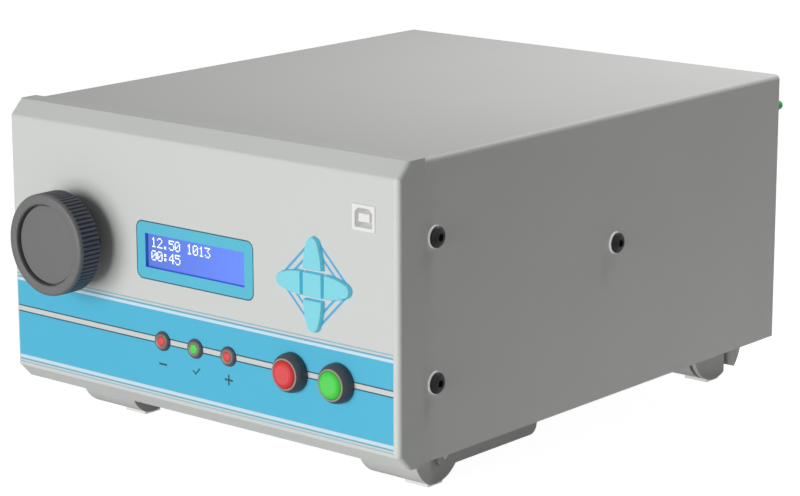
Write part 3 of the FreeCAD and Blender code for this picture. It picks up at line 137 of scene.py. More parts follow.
class FilmSettings(bpy.types.PropertyGroup):
    """Layout and inks of the printed film. Heights are above the bezel's lower edge."""

    ground: colour("Ground", "Pale grey of the film", (0.600, 0.615, 0.593))
    field: colour("Field", "Blue of the lower field", (0.062, 0.450, 0.662))
    pale_rule: colour("Pale rule", "Pale blue beside the field", (0.560, 0.740, 0.820))
    rule: colour("Rule", "Blue of the fine rules", (0.120, 0.400, 0.560))
    hairline: colour("Hairline", "Blue of the outer hairlines", (0.280, 0.460, 0.560))
    outline: colour("Outline", "Dark teal of the outlines and marks", (0.010, 0.080, 0.120))
    surround: colour("Surround", "Turquoise round the display", (0.080, 0.480, 0.640))
    lattice: colour("Lattice", "Blue of the lines behind the keys", (0.080, 0.380, 0.620))
    field_low: length("Field low", "Lower edge of the blue field", 11.9)
    field_high: length("Field high", "Upper edge of the blue field", 47.7)
    field_end: length("Field end", "Right edge of the blue field from the middle", 114.4)
    stripe_low: length("Stripe low", "Lower edge of the pale stripe", 33.2)
    stripe_high: length("Stripe high", "Upper edge of the pale stripe", 35.4)
    stripe_line: length("Stripe line", "Width of the stripe's dark outlines", 0.6)
    surround_width: length("Surround width", "Width of the display surround", 70.8)
    surround_height: length("Surround height", "Height of the display surround", 26.2)
    surround_round: length("Surround corner", "Corner radius of the display surround", 3.5)
    lattice_outer: length("Outer lattice", "Keypad middle to the outer line's corner", 20.4)
    lattice_inner: length("Inner lattice", "Keypad middle to the inner line's corner", 16.1)
    lattice_line: length("Lattice line", "Width of the lines behind the keys", 1.15)
    mark_height: length("Mark height", "Middle of the marks under the lamps", 23.4)
    mark_size: length("Mark size", "Half the width of a mark", 2.0)
    mark_stroke: length("Mark stroke", "Stroke of a mark", 0.95)


class FinishSettings(bpy.types.PropertyGroup):
    """Colours of the moulded, painted and plated surfaces."""

    bezel_paint: colour("Bezel paint", "Light grey of the front bezel", (0.600, 0.615, 0.593))
    cover_paint: colour("Cover paint", "Grey of the cover and rear panel", (0.595, 0.592, 0.580))
    foot_plastic: colour("Foot plastic", "Light grey of feet and tilt legs", (0.520, 0.525, 0.510))
    knob_plastic: colour("Knob plastic", "Charcoal of the regulator knob", (0.150, 0.150, 0.152))
    key_rubber: colour("Key rubber", "Turquoise of the cursor keys", (0.215, 0.640, 0.735))
    lamp_plastic: colour("Lamp bezels", "Grey of the lamp bezels", (0.085, 0.085, 0.092))
    button_plastic: colour("Button bezels", "Slate of the button bezels", (0.055, 0.060, 0.070))
    red_lens: colour("Red", "Red of lamps and button", (0.620, 0.030, 0.034))
    green_lens: colour("Green", "Green of lamp and button", (0.050, 0.560, 0.050))
    display_blue: colour("Display", "Lit blue of the display", (0.130, 0.230, 0.830))
    board_green: colour("Board", "Solder mask of the boards", (0.020, 0.160, 0.060))
    brass: colour("Brass", "Turned brass", (0.720, 0.500, 0.220))
    steel: colour("Steel", "Zinc plated steel", (0.600, 0.600, 0.590))


class TrimSettings(bpy.types.PropertyGroup):
    """Sizes of the small pieces."""

    upper_figures: figures("Upper row", "Figures in the display's upper row", "12.50 1013")
    lower_figures: figures("Lower row", "Figures in the display's lower row", "00:45")
    dot_pitch: length("Dot pitch", "Spacing of the display's dots", 0.67)
    dot_size: length("Dot size", "Size of a display dot", 0.50)
    figure_pitch: length("Figure pitch", "Spacing of the display's figures", 3.68)
    row_pitch: length("Row pitch", "Spacing of the display's rows", 6.05)
    text_margin: length("Text margin", "Window's left and top edge to the figures", 1.9)
    contact_radius: length("Contact", "Radius of a connector pin", 0.5)
    contact_pitch: length("Contact pitch", "Spacing of connector pins", 2.77)


class StageSettings(bpy.types.PropertyGroup):
    """Camera and light."""

    azimuth: angle("Azimuth", "Camera's turn round the instrument", 40.106)
    elevation: angle("Elevation", "Camera's height angle", 13.156)
    roll: angle("Roll", "Camera's tilt about its own axis", -0.111)
    right: length("Right", "Camera right of the case's middle", 821.226)
    before: length("Before", "Camera in front of the front face", 835.020)
    above: length("Above", "Camera above the bezel's lower edge", 352.584)
    lens: number("Lens", "Focal length on a 36 mm frame", 123.125)
    ambient: number("Ambient", "Strength of the even light", 0.145)
    key: number("Key", "Strength of the key light", 2.64)
    top: number("Top", "Power of the light over the rear edge", 1.14)


# Shader building


class Value:
    """A number in a node tree, for use in ordinary sums."""

    def __init__(self, maker, socket):
        self.maker = maker
        self.socket = socket

    def math(self, operation, *others):
        return self.maker.math(operation, self, *others)

    def __add__(self, other):
        return self.math("ADD", other)

    __radd__ = __add__

    def __sub__(self, other):
        return self.math("SUBTRACT", other)

    def __rsub__(self, other):
        return self.maker.math("SUBTRACT", other, self)

    def __mul__(self, other):
        return self.math("MULTIPLY", other)

    def __truediv__(self, other):
        return self.math("DIVIDE", other)

    def __gt__(self, other):
        return self.math("GREATER_THAN", other)

    def __lt__(self, other):
        return self.math("LESS_THAN", other)

    def __abs__(self):
        return self.math("ABSOLUTE")

    def at_least(self, other):
        return self.math("MAXIMUM", other)

    def at_most(self, other):
        return self.math("MINIMUM", other)


class Shading:
    """The node tree of a material or of the world."""

    def __init__(self, tree):
        self.tree = tree

    def feed(self, socket, value):
        """Link a value or an output to a socket, or set the socket to a constant."""
        if isinstance(value, Value):
            value = value.socket
        if isinstance(value, bpy.types.NodeSocket):
            self.tree.links.new(value, socket)
        elif socket.type == "RGBA":
            socket.default_value = (*value[:3], 1.0)
        else:
            socket.default_value = value

    def node(self, kind, settings, inputs):
        """Any node: its settings first, then the values or links of its sockets."""
        made = self.tree.nodes.new(kind)
        for name, value in settings.items():
            if name == "stops":
                for element, (position, shade) in zip(made.color_ramp.elements, value):
                    element.position = position
                    element.color = (*shade, 1.0)
            else:
                setattr(made, name, value)
        for name, value in inputs.items():
            self.feed(made.inputs[name], value)
        return made

    def math(self, operation, *values):
        made = self.node("ShaderNodeMath", {"operation": operation}, dict(enumerate(values)))
        return Value(self, made.outputs[0])

    def light_path(self, kind):
        """1 for rays of that kind and 0 for the others."""
        return Value(self, self.node("ShaderNodeLightPath", {}, {}).outputs[kind])

    def surface(self, under, over, amount):
        """Show the shader over, laid on the shader under, as the tree's surface."""
        mixed = self.node(
            "ShaderNodeMixShader", {}, {"Fac": amount, 1: under.outputs[0], 2: over.outputs[0]}
        )
        for node in self.tree.nodes:
            if node.bl_idname in ("ShaderNodeOutputMaterial", "ShaderNodeOutputWorld"):
                self.feed(node.inputs["Surface"], mixed.outputs[0])


class Finish(Shading):
    """One procedural material, built round a Principled shader."""

    def __init__(self, name, **constants):
        self.material = bpy.data.materials.new(name)
        self.material.use_nodes = True
        super().__init__(self.material.node_tree)
        self.shader = self.tree.nodes["Principled BSDF"]
        for constant, value in constants.items():
            socket = constant.replace("_", " ").title().replace("Ior", "IOR")
            self.feed(self.shader.inputs[socket], value)
        self.place = self.node("ShaderNodeTexCoord", {}, {}).outputs["Object"]

    def axes(self):
        """Object coordinates as three values, in metres."""
        split = self.node("ShaderNodeSeparateXYZ", {}, {0: self.place})
        return [Value(self, out) for out in split.outputs]

    def noise(self, size, detail=3.0, roughness=0.5, stretch=None):
        """Noise between 0 and 1, with features of about that size in metres."""
        place = self.place
        if stretch is not None:
            scaled = self.node("ShaderNodeMapping", {}, {"Vector": place, "Scale": stretch})
            place = scaled.outputs[0]
        made = self.node(
            "ShaderNodeTexNoise", {},
            {"Vector": place, "Scale": 1.0 / size, "Detail": detail, "Roughness": roughness},
        )
        return Value(self, made.outputs["Fac"])

    def blend(self, under, over, amount):
        """The colour over, laid on the colour under."""
        made = self.node(
            "ShaderNodeMix", {"data_type": "RGBA"}, {"Factor": amount, 6: under, 7: over}
        )
        return made.outputs[2]

    def paint(self, shade):
        self.feed(self.shader.inputs["Base Color"], shade)

    def rough(self, value):
        self.feed(self.shader.inputs["Roughness"], value)

    def glow(self, shade):
        self.feed(self.shader.inputs["Emission Color"], shade)

    def bump(self, height, depth, strength):
        """Relief: a height of 0 to 1 stands for that depth in metres."""
        made = self.node(
            "ShaderNodeBump", {}, {"Strength": strength, "Distance": depth, "Height": height}
        )
        self.feed(self.shader.inputs["Normal"], made.outputs[0])

    def radius(self, node):
        """Distance from the middle line of a round node that points to the front."""
        x, _, z = self.axes()
        low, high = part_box(node)
        across, up = x - (low.x + high.x) / 2, z - (low.z + high.z) / 2
        return (across * across + up * up).math("SQRT")

    def core(self, node, radius, fade):
        """0 beyond a radius round a node's middle line, rising to 1 over the fade inside it."""
        return ((radius - self.radius(node)) / fade).at_least(0.0).at_most(1.0)

    def edge_wear_and_highlight(self, width):
        """1 on sharp outer edges and 0 elsewhere, where the finishes lay paler wear and a painted
        highlight.
        """
        rounded = self.node("ShaderNodeBevel", {"samples": 6}, {"Radius": width}).outputs[0]
        plain = self.node("ShaderNodeNewGeometry", {}, {}).outputs["Normal"]
        agree = self.node(
            "ShaderNodeVectorMath", {"operation": "DOT_PRODUCT"}, {0: rounded, 1: plain}
        )
        return ((1.0 - Value(self, agree.outputs["Value"])) * 6.0).at_most(1.0)


def between(value, low, high):
    """1 where a value lies between two limits and 0 elsewhere."""
    return (value > low) * (value < high)


def tinted(shade, factor):
    """A lighter or darker tone of a colour."""
    return tuple(min(1.0, part * factor) for part in shade)


# Finishes


def paint_finish(name, shade, grain, ends=1.0):
    """Powder coat: fine orange peel and faint unevenness, painted shade on the side faces at the ends
    across, and the display's blue light painted on the walls of its window.
    """
    made = Finish(name, specular_ior_level=0.4)
    cloud = made.noise(60 * MM, 2.0)
    speck = made.noise(0.5 * MM, 2.0)
    even = made.blend(tinted(shade, 0.97), tinted(shade, 1.03), cloud)
    even = made.blend(even, tinted(shade, 0.9), (speck > 0.68) * 0.35)
    # Painted shade: the side faces at the ends across take the tone given by ends.
    outside = abs(made.axes()[0]) > BEZEL_HIGH.x - 0.4 * MM
    even = made.blend(even, tinted(shade, ends), outside)
    # Painted light: the display's blue on the walls of its window.
    made.paint(made.blend(even, DISPLAY_LIGHT_PAINTED_BLUE, window_walls(made, 0.4 * MM)))
    made.rough(0.47 + cloud * 0.06 + speck * 0.05)
    made.bump(made.noise(grain, 3.0, 0.6), 0.05 * MM, 0.5)
    return made.material


def moulded_finish(name, shade, roughness, grain=0.35 * MM, depth=0.03 * MM):
    """Moulded plastic: spark-eroded grain, faint flow marks, and paler edges that are part wear and
    part painted highlight.
    """
    made = Finish(name, specular_ior_level=0.45)
    flow = made.noise(14 * MM, 3.0, 0.5, (1.0, 1.0, 2.5))
    fine = made.noise(grain, 4.0, 0.7)
    body = made.blend(tinted(shade, 0.94), tinted(shade, 1.06), flow)
    # Paler sharp edges: part wear, part painted highlight.
    made.paint(made.blend(body, tinted(shade, 1.2), made.edge_wear_and_highlight(0.3 * MM) * 0.25))
    made.rough(roughness - 0.04 + flow * 0.05 + fine * 0.06)
    made.bump(fine, depth, 0.5)
    return made.material


def metal_finish(name, shade, roughness, brushed=(1.0, 1.0, 1.0)):
    """Plated or turned metal with faint stains, brushed along the axis that has a small scale."""
    made = Finish(name, metallic=1.0)
    lines = made.noise(0.25 * MM, 3.0, 0.6, brushed)
    stain = made.noise(18 * MM, 3.0)
    made.paint(made.blend(tinted(shade, 0.86), tinted(shade, 1.04), stain))
    made.rough(roughness - 0.06 + lines * 0.12 + stain * 0.05)
    made.bump(lines, 0.01 * MM, 0.4)
    return made.material


def board_finish(name, shade):
    """Circuit board: solder mask over faint copper tracks, darker in random patches."""
    made = Finish(name, specular_ior_level=0.5)
    tracks = made.node(
        "ShaderNodeTexBrick", {"offset": 0.5},
        {"Vector": made.place, "Scale": 160.0, "Mortar Size": 0.02, "Mortar Smooth": 0.1},
    )
    mask = made.blend(tinted(shade, 1.5), shade, tracks.outputs["Fac"])
    made.paint(made.blend(mask, tinted(shade, 0.7), made.noise(9 * MM)))
    made.rough(0.32 + made.noise(4 * MM) * 0.15)
    made.bump(tracks.outputs["Fac"], 0.03 * MM, 0.4)
    return made.material


def rounded_box(x, z, width, height, corner):
    """Signed distance from a rectangle with round corners, about the middle of x and z."""
    across = abs(x) - (width / 2 - corner)
    up = abs(z) - (height / 2 - corner)
    beside, above = across.at_least(0.0), up.at_least(0.0)
    outside = beside * beside + above * above
    return outside.math("SQRT") + across.at_least(up).at_most(0.0) - corner


def stroke(x, z, start, finish, width):
    """1 on a straight stroke between two points, with square ends."""
    run, rise = finish[0] - start[0], finish[1] - start[1]
    size = math.hypot(run, rise)
    run, rise = run / size, rise / size
    along = (x - start[0]) * run + (z - start[1]) * rise
    across = (x - start[0]) * rise - (z - start[1]) * run
    return between(along, -width / 2, size + width / 2) * (abs(across) < width / 2)


def film_bands(film):
    """The film's bands across, in the order of printing: lower edge, upper edge and ink."""
    yield film.field_low, film.field_high, film.field
    for near, far, ink in RULES_ABOVE:
        yield film.field_high + near * MM, film.field_high + far * MM, getattr(film, ink)
    for near, far, ink in RULES_BELOW:
        yield film.field_low - far * MM, film.field_low - near * MM, getattr(film, ink)
    yield film.stripe_low - film.stripe_line, film.stripe_high + film.stripe_line, film.outline


def film_finish(film):
    """The printed front film: blue field and rules, display surround, key lattice and marks, with the
    display's blue light painted on its window's walls and a painted glow on its right edge.
    """
    made = Finish("Printed film", specular_ior_level=0.4, emission_strength=0.75)
    x, _, z = made.axes()
    z = z - BASE_Z
    inside = x < film.field_end
    shade = film.ground
    for low, high, ink in film_bands(film):
        shade = made.blend(shade, ink, between(z, low, high) * inside)
    stripe = between(z, film.stripe_low, film.stripe_high)
    shade = made.blend(shade, film.ground, stripe)

    lattice_x, lattice_z = middle_of("key_centre")
    diamond = abs(x - lattice_x) + abs(z - lattice_z)
    half_line = film.lattice_line * math.sqrt(2) / 2
    for reach in (film.lattice_outer, film.lattice_inner):
        shade = made.blend(shade, film.lattice, abs(diamond - reach) < half_line)

    window_x, window_z = middle_of("display_glass")
    edge = rounded_box(
        x - window_x, z - window_z,
        film.surround_width, film.surround_height, film.surround_round,
    )
    shade = made.blend(shade, film.outline, edge < 0.3 * MM)
    shade = made.blend(shade, film.surround, edge < -0.25 * MM)

    for mark in lamp_marks(film, x, z):
        shade = made.blend(shade, film.outline, mark)
    speck = made.noise(0.6 * MM, 2.0)
    # Painted light: the display's blue on the walls of its window.
    walls = window_walls(made, 0.1 * MM)
    made.paint(made.blend(made.blend(shade, PALE, speck * 0.02), DISPLAY_LIGHT_PAINTED_BLUE, walls))
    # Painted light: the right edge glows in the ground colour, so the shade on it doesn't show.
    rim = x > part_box("front_label")[1].x - 0.04 * MM
    made.glow(made.blend(BLACK, film.ground, rim))
    made.rough(0.42 + made.noise(40 * MM) * 0.06 + speck * 0.04)
    made.bump(made.noise(0.22 * MM, 2.0), 0.012 * MM, 0.4)
    return made.material


def window_walls(made, beyond):
    """1 at the front on the display window's walls: within its edges and that far beyond them."""
    x, y, z = made.axes()
    low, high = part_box("display_glass")
    across = abs(x - (low.x + high.x) / 2) - (high.x - low.x) / 2
    up = abs(z - (low.z + high.z) / 2) - (high.z - low.z) / 2
    return (across.at_least(up) < beyond) * (y < FRONT_Y + 6 * MM)


def lamp_marks(film, x, z):
    """A minus, a tick and a plus under the three lamps."""
    size, width, height = film.mark_size, film.mark_stroke, film.mark_height
    low_x, pass_x, high_x = (middle_of(f"lamp_{name}_lens")[0] for name in ("low", "pass", "high"))
    low_x, high_x = low_x - MARK_SHIFT, high_x - PLUS_SHIFT
    yield stroke(x, z, (low_x - size, height), (low_x + size, height), width)
    corner = (pass_x - MARK_SHIFT, height - TICK_DROP)
    left = (corner[0] + TICK_LEFT[0], corner[1] + TICK_LEFT[1])
    right = (corner[0] + TICK_RIGHT[0], corner[1] + TICK_RIGHT[1])
    yield stroke(x, z, left, corner, width * 0.8)
    yield stroke(x, z, corner, right, width * 0.8)
    yield stroke(x, z, (high_x - size, height), (high_x + size, height), width)
    yield stroke(x, z, (high_x, height - size), (high_x, height + size), width)


def middle_of(node):
    """A node's middle across the front: x, and height above the bezel's lower edge."""
    low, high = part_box(node)
    return (low.x + high.x) / 2, (low.z + high.z) / 2 - BASE_Z


def knob_finish(shade):
    """Charcoal moulding with fine grain; its rim painted darker and bluish as painted shade, with
    paler rib crests as a painted highlight.
    """
    made = Finish("Knob plastic", specular_ior_level=0.5)
    _, y, _ = made.axes()
    low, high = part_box("regulator_knob")
    outer = (high.x - low.x) / 2
    radius = made.radius("regulator_knob")
    crest = radius > outer - 0.15 * MM
    rim = (radius > outer - 2.0 * MM) * (y > low.y + 2.4 * MM)
    fine = made.noise(0.3 * MM, 4.0, 0.7)
    cloud = made.noise(12 * MM, 3.0)
    body = made.blend(tinted(shade, 0.92), tinted(shade, 1.05), cloud)
    # Painted shade on the rim, tinted blue, and a painted highlight on the rib crests.
    body = made.blend(body, KNOB_RIM_PAINTED_SHADE, rim)
    body = made.blend(body, KNOB_CREST_PAINTED_HIGHLIGHT, rim * crest)
    # Paler sharp edges: part wear, part painted highlight.
    made.paint(made.blend(body, tinted(shade, 1.4), made.edge_wear_and_highlight(0.4 * MM) * 0.3))
    made.rough(0.44 + fine * 0.08 + cloud * 0.05)
    made.bump(fine, 0.03 * MM, 0.5)
    return made.material


def key_finish(shade):
    """Silicone rubber: soft and a little uneven; its walls are painted darker as painted shade and
    glow blue as painted light.
    """
    made = Finish("Key rubber", specular_ior_level=0.35, emission_strength=0.85)
    _, y, _ = made.axes()
    face = y < FRONT_Y - 2.1 * MM
    fine = made.noise(0.25 * MM, 3.0, 0.6)
    cloud = made.noise(7 * MM, 2.0)
    top = made.blend(shade, tinted(shade, 1.06), cloud)
    # Painted shade: the walls darker. Painted light: a blue glow on the walls.
    made.paint(made.blend(tinted(shade, 0.8), top, face))
    made.glow(made.blend(KEY_WALL_PAINTED_GLOW, BLACK, face))
    made.rough(0.5 + fine * 0.1)
    made.bump(fine, 0.02 * MM, 0.4)
    return made.material


def lens_finish(node, shade, core):
    """Tinted clear plastic that gives off a little of its colour, paler within the radius of its core
    as a painted highlight; the glow is the lamps' own light, and on the button caps painted light.
    """
    made = Finish(f"{node} plastic", specular_ior_level=0.35, emission_strength=0.12)
    swirl = made.noise(1.2 * MM, 2.0)
    body = made.blend(tinted(shade, 0.9), tinted(shade, 1.1), swirl)
    # Painted highlight: paler within the core.
    made.paint(made.blend(body, PALE, made.core(node, core, 0.6 * MM) * 0.05))
    made.rough(0.5 + swirl * 0.1)
    made.bump(made.noise(0.4 * MM, 2.0), 0.01 * MM, 0.3)
    # Glow: the lamps' own light, on the button caps painted light.
    made.glow(shade)
    return made.material


def lamp_bezel_finish(node, shade, core):
    """Grey moulding with a brown-grey seat round the lens."""
    made = Finish(f"{node} plastic", specular_ior_level=0.45)
    fine = made.noise(0.25 * MM, 3.0, 0.7)
    body = made.blend(tinted(shade, 0.9), tinted(shade, 1.1), made.noise(4 * MM))
    made.paint(made.blend(body, LAMP_SEAT_BROWN, made.core(node, core, 0.5 * MM)))
    made.rough(0.38 + fine * 0.08)
    made.bump(fine, 0.015 * MM, 0.4)
    return made.material


def button_bezel_finish(node, shade):
    """Slate moulding whose top edge is painted as a thin pale ring round the cap: a painted
    highlight.
    """
    made = Finish(f"{node} plastic", specular_ior_level=0.5)
    _, y, _ = made.axes()
    low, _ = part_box(node)
    fine = made.noise(0.25 * MM, 3.0, 0.7)
    body = made.blend(tinted(shade, 0.85), tinted(shade, 1.15), made.noise(5 * MM))
    # Painted highlight: the top edge pale.
    made.paint(made.blend(body, BUTTON_RING_PAINTED_HIGHLIGHT, y < low.y + 0.18 * MM))
    made.rough(0.34 + fine * 0.1)
    made.bump(fine, 0.015 * MM, 0.4)
    return made.material


def display_finish(shade, trim):
    """Back-lit display: cells in rows, a little darker at its left end."""
    made = Finish("Display face", specular_ior_level=0.5, emission_strength=0.9)
    x, _, z = made.axes()
    low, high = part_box("display_glass")
    along = (x - low.x) / (high.x - low.x)
    cells = made.node(
        "ShaderNodeTexBrick", {"offset": 0.0},
        {"Vector": made.place, "Scale": 1.0, "Brick Width": trim.figure_pitch,
         "Row Height": trim.row_pitch, "Mortar Size": 0.25 * MM, "Mortar Smooth": 0.2},
    )
    glow = made.blend(tinted(shade, 0.72), tinted(shade, 1.12), along)
    glow = made.blend(glow, tinted(shade, 0.9), Value(made, cells.outputs["Fac"]) * 0.3)
    made.paint(tinted(shade, 0.25))
    made.glow(glow)
    made.rough(0.12 + made.noise(3 * MM) * 0.05)
    return made.material


def glowing_finish(name, shade, strength):
    """Plastic that gives off some of its own colour: the display's own light on its dots, and painted
    light on the washers, the USB socket and the foot pads.
    """
    made = Finish(name, emission_strength=strength, roughness=0.5)
    made.paint(shade)
    made.glow(made.blend(shade, tinted(shade, 0.9), made.noise(0.4 * MM)))
    return made.material


def coated(material, *nodes):
    """Put a material on every slot of the named nodes."""
    for name in nodes:
        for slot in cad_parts[name].material_slots:
            slot.material = material


class FLOW_OT_case(bpy.types.Operator):
    """Paint the case, and print its front film"""

    bl_idname = "flow.case"
    bl_label = "Case"

    def execute(self, context):
        finish = context.scene.flow_finish
        # The bezel's side faces are painted 0.93 as dark: painted shade.
        bezel = paint_finish("Bezel paint", finish.bezel_paint, 0.5 * MM, 0.93)
        cover = paint_finish("Cover paint", finish.cover_paint, 0.45 * MM)
        coated(bezel, "front_bezel")
        coated(cover, "case_cover", "rear_panel")
        coated(film_finish(context.scene.flow_film), "front_label")
        plate = metal_finish("Zinc plate", finish.steel, 0.38, (1.0, 0.05, 1.0))
        coated(plate, "base_plate", "foot_screws", "tilt_leg_pins", "regulator_spindle")
        aluminium = metal_finish("Mill aluminium", (0.68, 0.69, 0.70), 0.42, (1.0, 0.04, 1.0))
        coated(aluminium, "side_rail_left", "side_rail_right", "power_supply", "flow_element")
        return {"FINISHED"}


class FLOW_OT_fasteners(bpy.types.Operator):
    """Finish the screws and their washers"""

    bl_idname = "flow.fasteners"
    bl_label = "Screws"

    def execute(self, context):
        black = moulded_finish("Black oxide", (0.012, 0.012, 0.013), 0.30, 0.2 * MM, 0.008 * MM)
        coated(black, "side_screws", "rear_panel_screws", "regulator_panel_nut")
        nylon = moulded_finish("White nylon", (0.84, 0.84, 0.83), 0.4)
        coated(nylon, "flow_element_clamps", "pressure_sensor")
        # Painted light: the washers and the USB socket give off some of their colour.
        coated(glowing_finish("Nylon with painted glow", (0.74, 0.74, 0.73), 0.22), "side_screw_washers")
        coated(glowing_finish("USB plastic with painted glow", (0.60, 0.60, 0.59), 0.30), "usb_socket")
        return {"FINISHED"}


class FLOW_OT_feet(bpy.types.Operator):
    """Finish the feet, their tilt legs and pads"""

    bl_idname = "flow.feet"
    bl_label = "Feet"

    def execute(self, context):
        finish = context.scene.flow_finish
        grey = moulded_finish("Foot plastic", finish.foot_plastic, 0.5)
        sides = [f"{end}_{side}" for end in ("front", "rear") for side in ("left", "right")]
        coated(grey, *[f"foot_{place}" for place in sides])
        # The legs are a darker copy of the foot plastic: painted shade.
        legs = moulded_finish("Leg plastic in painted shade", tinted(finish.foot_plastic, 0.78), 0.5)
        coated(legs, "tilt_leg_left", "tilt_leg_right")
        # Painted light: the pads give off some of their colour.
        coated(glowing_finish("Pad rubber with painted glow", (0.36, 0.36, 0.355), 0.95), "foot_pads")
        return {"FINISHED"}


class FLOW_OT_controls(bpy.types.Operator):
    """Finish the knob, keys, lamps and push buttons"""

    bl_idname = "flow.controls"
    bl_label = "Controls"

    def execute(self, context):
        finish = context.scene.flow_finish
        coated(knob_finish(finish.knob_plastic), "regulator_knob")
        keys = [f"key_{side}" for side in ("up", "down", "left", "right", "centre")]
        coated(key_finish(finish.key_rubber), *keys)
        for lamp in ("lamp_low", "lamp_pass", "lamp_high"):
            bezel, lens = f"{lamp}_bezel", f"{lamp}_lens"
            coated(lamp_bezel_finish(bezel, finish.lamp_plastic, 3.5 * MM), bezel)
            shade = finish.green_lens if lamp == "lamp_pass" else finish.red_lens
            coated(lens_finish(lens, shade, 2.0 * MM), lens)
        for button, shade in (("stop", finish.red_lens), ("start", finish.green_lens)):
            cap, bezel = f"{button}_button_cap", f"{button}_button_bezel"
            # The caps glow and are paler in the middle: painted light and a painted highlight.
            coated(lens_finish(cap, shade, 4.4 * MM), cap)
            coated(button_bezel_finish(bezel, finish.button_plastic), bezel)
        return {"FINISHED"}


class FLOW_OT_inside(bpy.types.Operator):
    """Finish what the closed case holds"""

    bl_idname = "flow.inside"
    bl_label = "Inside"

    def execute(self, context):
        finish = context.scene.flow_finish
        board = board_finish("Circuit board", finish.board_green)
        coated(board, "main_board", "keypad_board", "display_board")
        brass = metal_finish("Turned brass", finish.brass, 0.3)
        coated(brass, "board_pillars", "inlet_pins", "solenoid_valve")
        coated(metal_finish("Die casting", (0.55, 0.56, 0.57), 0.5), "regulator_body")
        dark = moulded_finish("Black plastic", (0.02, 0.02, 0.022), 0.45)
        coated(dark, "display_frame", "button_nuts")
        return {"FINISHED"}


class FLOW_OT_rear(bpy.types.Operator):
    """Finish the rear sockets and add their contacts"""

    bl_idname = "flow.rear"
    bl_label = "Rear sockets"

    def execute(self, context):
        finish = context.scene.flow_finish
        trim = context.scene.flow_trim
        dark = moulded_finish("Socket plastic", (0.02, 0.02, 0.022), 0.42)
        coated(dark, "mains_inlet", "mains_switch_body", "mains_switch_rocker")
        nickel = metal_finish("Nickel", (0.66, 0.64, 0.60), 0.24)
        coated(nickel, "supply_port", "test_port")
        shell = metal_finish("Connector shell", finish.steel, 0.3)
        coated(shell, "serial_connector", "signal_connector")
        coated(moulded_finish("Transit plug plastic", (0.03, 0.50, 0.10), 0.4), "transit_plug")
        gold = metal_finish("Gold contact", (0.86, 0.62, 0.26), 0.22)
        for connector, count in (("serial_connector", 9), ("signal_connector", 25)):
            pins = contact_rows(f"{connector}_contacts", connector, count, trim)
            pins.data.materials.append(gold)
        return {"FINISHED"}


class FLOW_OT_display(bpy.types.Operator):
    """Light the display and set its figures"""

    bl_idname = "flow.display"
    bl_label = "Display"

    def execute(self, context):
        trim = context.scene.flow_trim
        lit = display_finish(context.scene.flow_finish.display_blue, trim)
        coated(lit, "display_glass")
        dots = display_figures(trim)
        dots.data.materials.append(glowing_finish("Lit dots", (0.92, 0.95, 1.0), 0.9))
        return {"FINISHED"}


# Small pieces

GLYPHS = {
    "0": "01110 10001 10011 10101 11001 10001 01110",
    "1": "00100 01100 00100 00100 00100 00100 01110",
    "2": "01110 10001 00001 00010 00100 01000 11111",
    "3": "11111 00010 00100 00010 00001 10001 01110",
    "4": "00010 00110 01010 10010 11111 00010 00010",
    "5": "11111 10000 11110 00001 00001 10001 01110",
    ".": "00000 00000 00000 00000 00000 01100 01100",
    ":": "00000 01100 01100 00000 01100 01100 00000",
    " ": "",
}


def placed(name, data):
    """A new object in the scene, of a mesh, a light or a camera."""
    made = bpy.data.objects.new(name, data)
    bpy.context.scene.collection.objects.link(made)
    return made


def placed_mesh(name, shape):
    """A new object in the scene, of a bmesh, which is used up."""
    mesh = bpy.data.meshes.new(name)
    shape.to_mesh(mesh)
    shape.free()
    return placed(name, mesh)


def finished_piece(name, shape, body):
    """Turn a bmesh into a piece that rides on a body."""
    bmesh.ops.recalc_face_normals(shape, faces=shape.faces)
    piece = placed_mesh(name, shape)
    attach(piece, body)
    return piece


def lit_dots(trim, start, top):
    """Middle of each lit dot, from the left edge and the top of the first figure."""
    for row, text in enumerate((trim.upper_figures, trim.lower_figures)):
        high = top - row * trim.row_pitch
        for place, figure in enumerate(text):
            left = start + place * trim.figure_pitch
            for line, dots in enumerate(GLYPHS[figure].split()):
                z = high - (line + 0.5) * trim.dot_pitch
                for column, dot in enumerate(dots):
                    if dot == "1":
                        yield left + (column + 0.5) * trim.dot_pitch, z


def display_figures(trim):
    """Dot-matrix figures just in front of the display's face."""
    low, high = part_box("display_glass")
    shape = bmesh.new()
    size = Matrix.Diagonal((trim.dot_size, DOT_THICKNESS, trim.dot_size, 1.0))
    start, top = low.x + trim.text_margin, high.z - trim.text_margin + FIGURES_RAISED
    for x, z in lit_dots(trim, start, top):
        at = Matrix.Translation((x, low.y - DOT_THICKNESS / 2, z))
        bmesh.ops.create_cube(shape, size=1.0, matrix=at @ size)
    return finished_piece("display_figures", shape, "instrument")


def add_pin(shape, tip, radius):
    """A pin of flat sides that points to the rear, with a rounded edge at its tip."""
    turns = [math.tau * side / PIN_SIDES for side in range(PIN_SIDES)]
    rings = []
    for forward, share in PIN_RINGS:
        reach = radius * share
        places = [Vector((reach * math.sin(t), -forward * MM, reach * math.cos(t))) for t in turns]
        rings.append([shape.verts.new(tip + place) for place in places])
    shape.faces.new(rings[0])
    shape.faces.new(rings[-1])
    for front, back in zip(rings, rings[1:]):
        for side in range(PIN_SIDES):
            shape.faces.new((front[side - 1], front[side], back[side], back[side - 1]))


def contact_rows(name, connector, count, trim):
    """The pins of a D-shaped connector in two rows, each with a rounded tip."""
    low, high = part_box(connector)
    x, z = (low.x + high.x) / 2, (low.z + high.z) / 2
    shape = bmesh.new()
    upper = (count + 1) // 2
    for row, pins in enumerate((upper, count - upper)):
        for place in range(pins):
            across = (place - (pins - 1) / 2) * trim.contact_pitch
            up = (0.5 - row) * trim.contact_pitch
            tip = Vector((x + across, high.y - CONTACT_INSET, z + up))
            add_pin(shape, tip, trim.contact_radius)
    return finished_piece(name, shape, "instrument")


# Stage


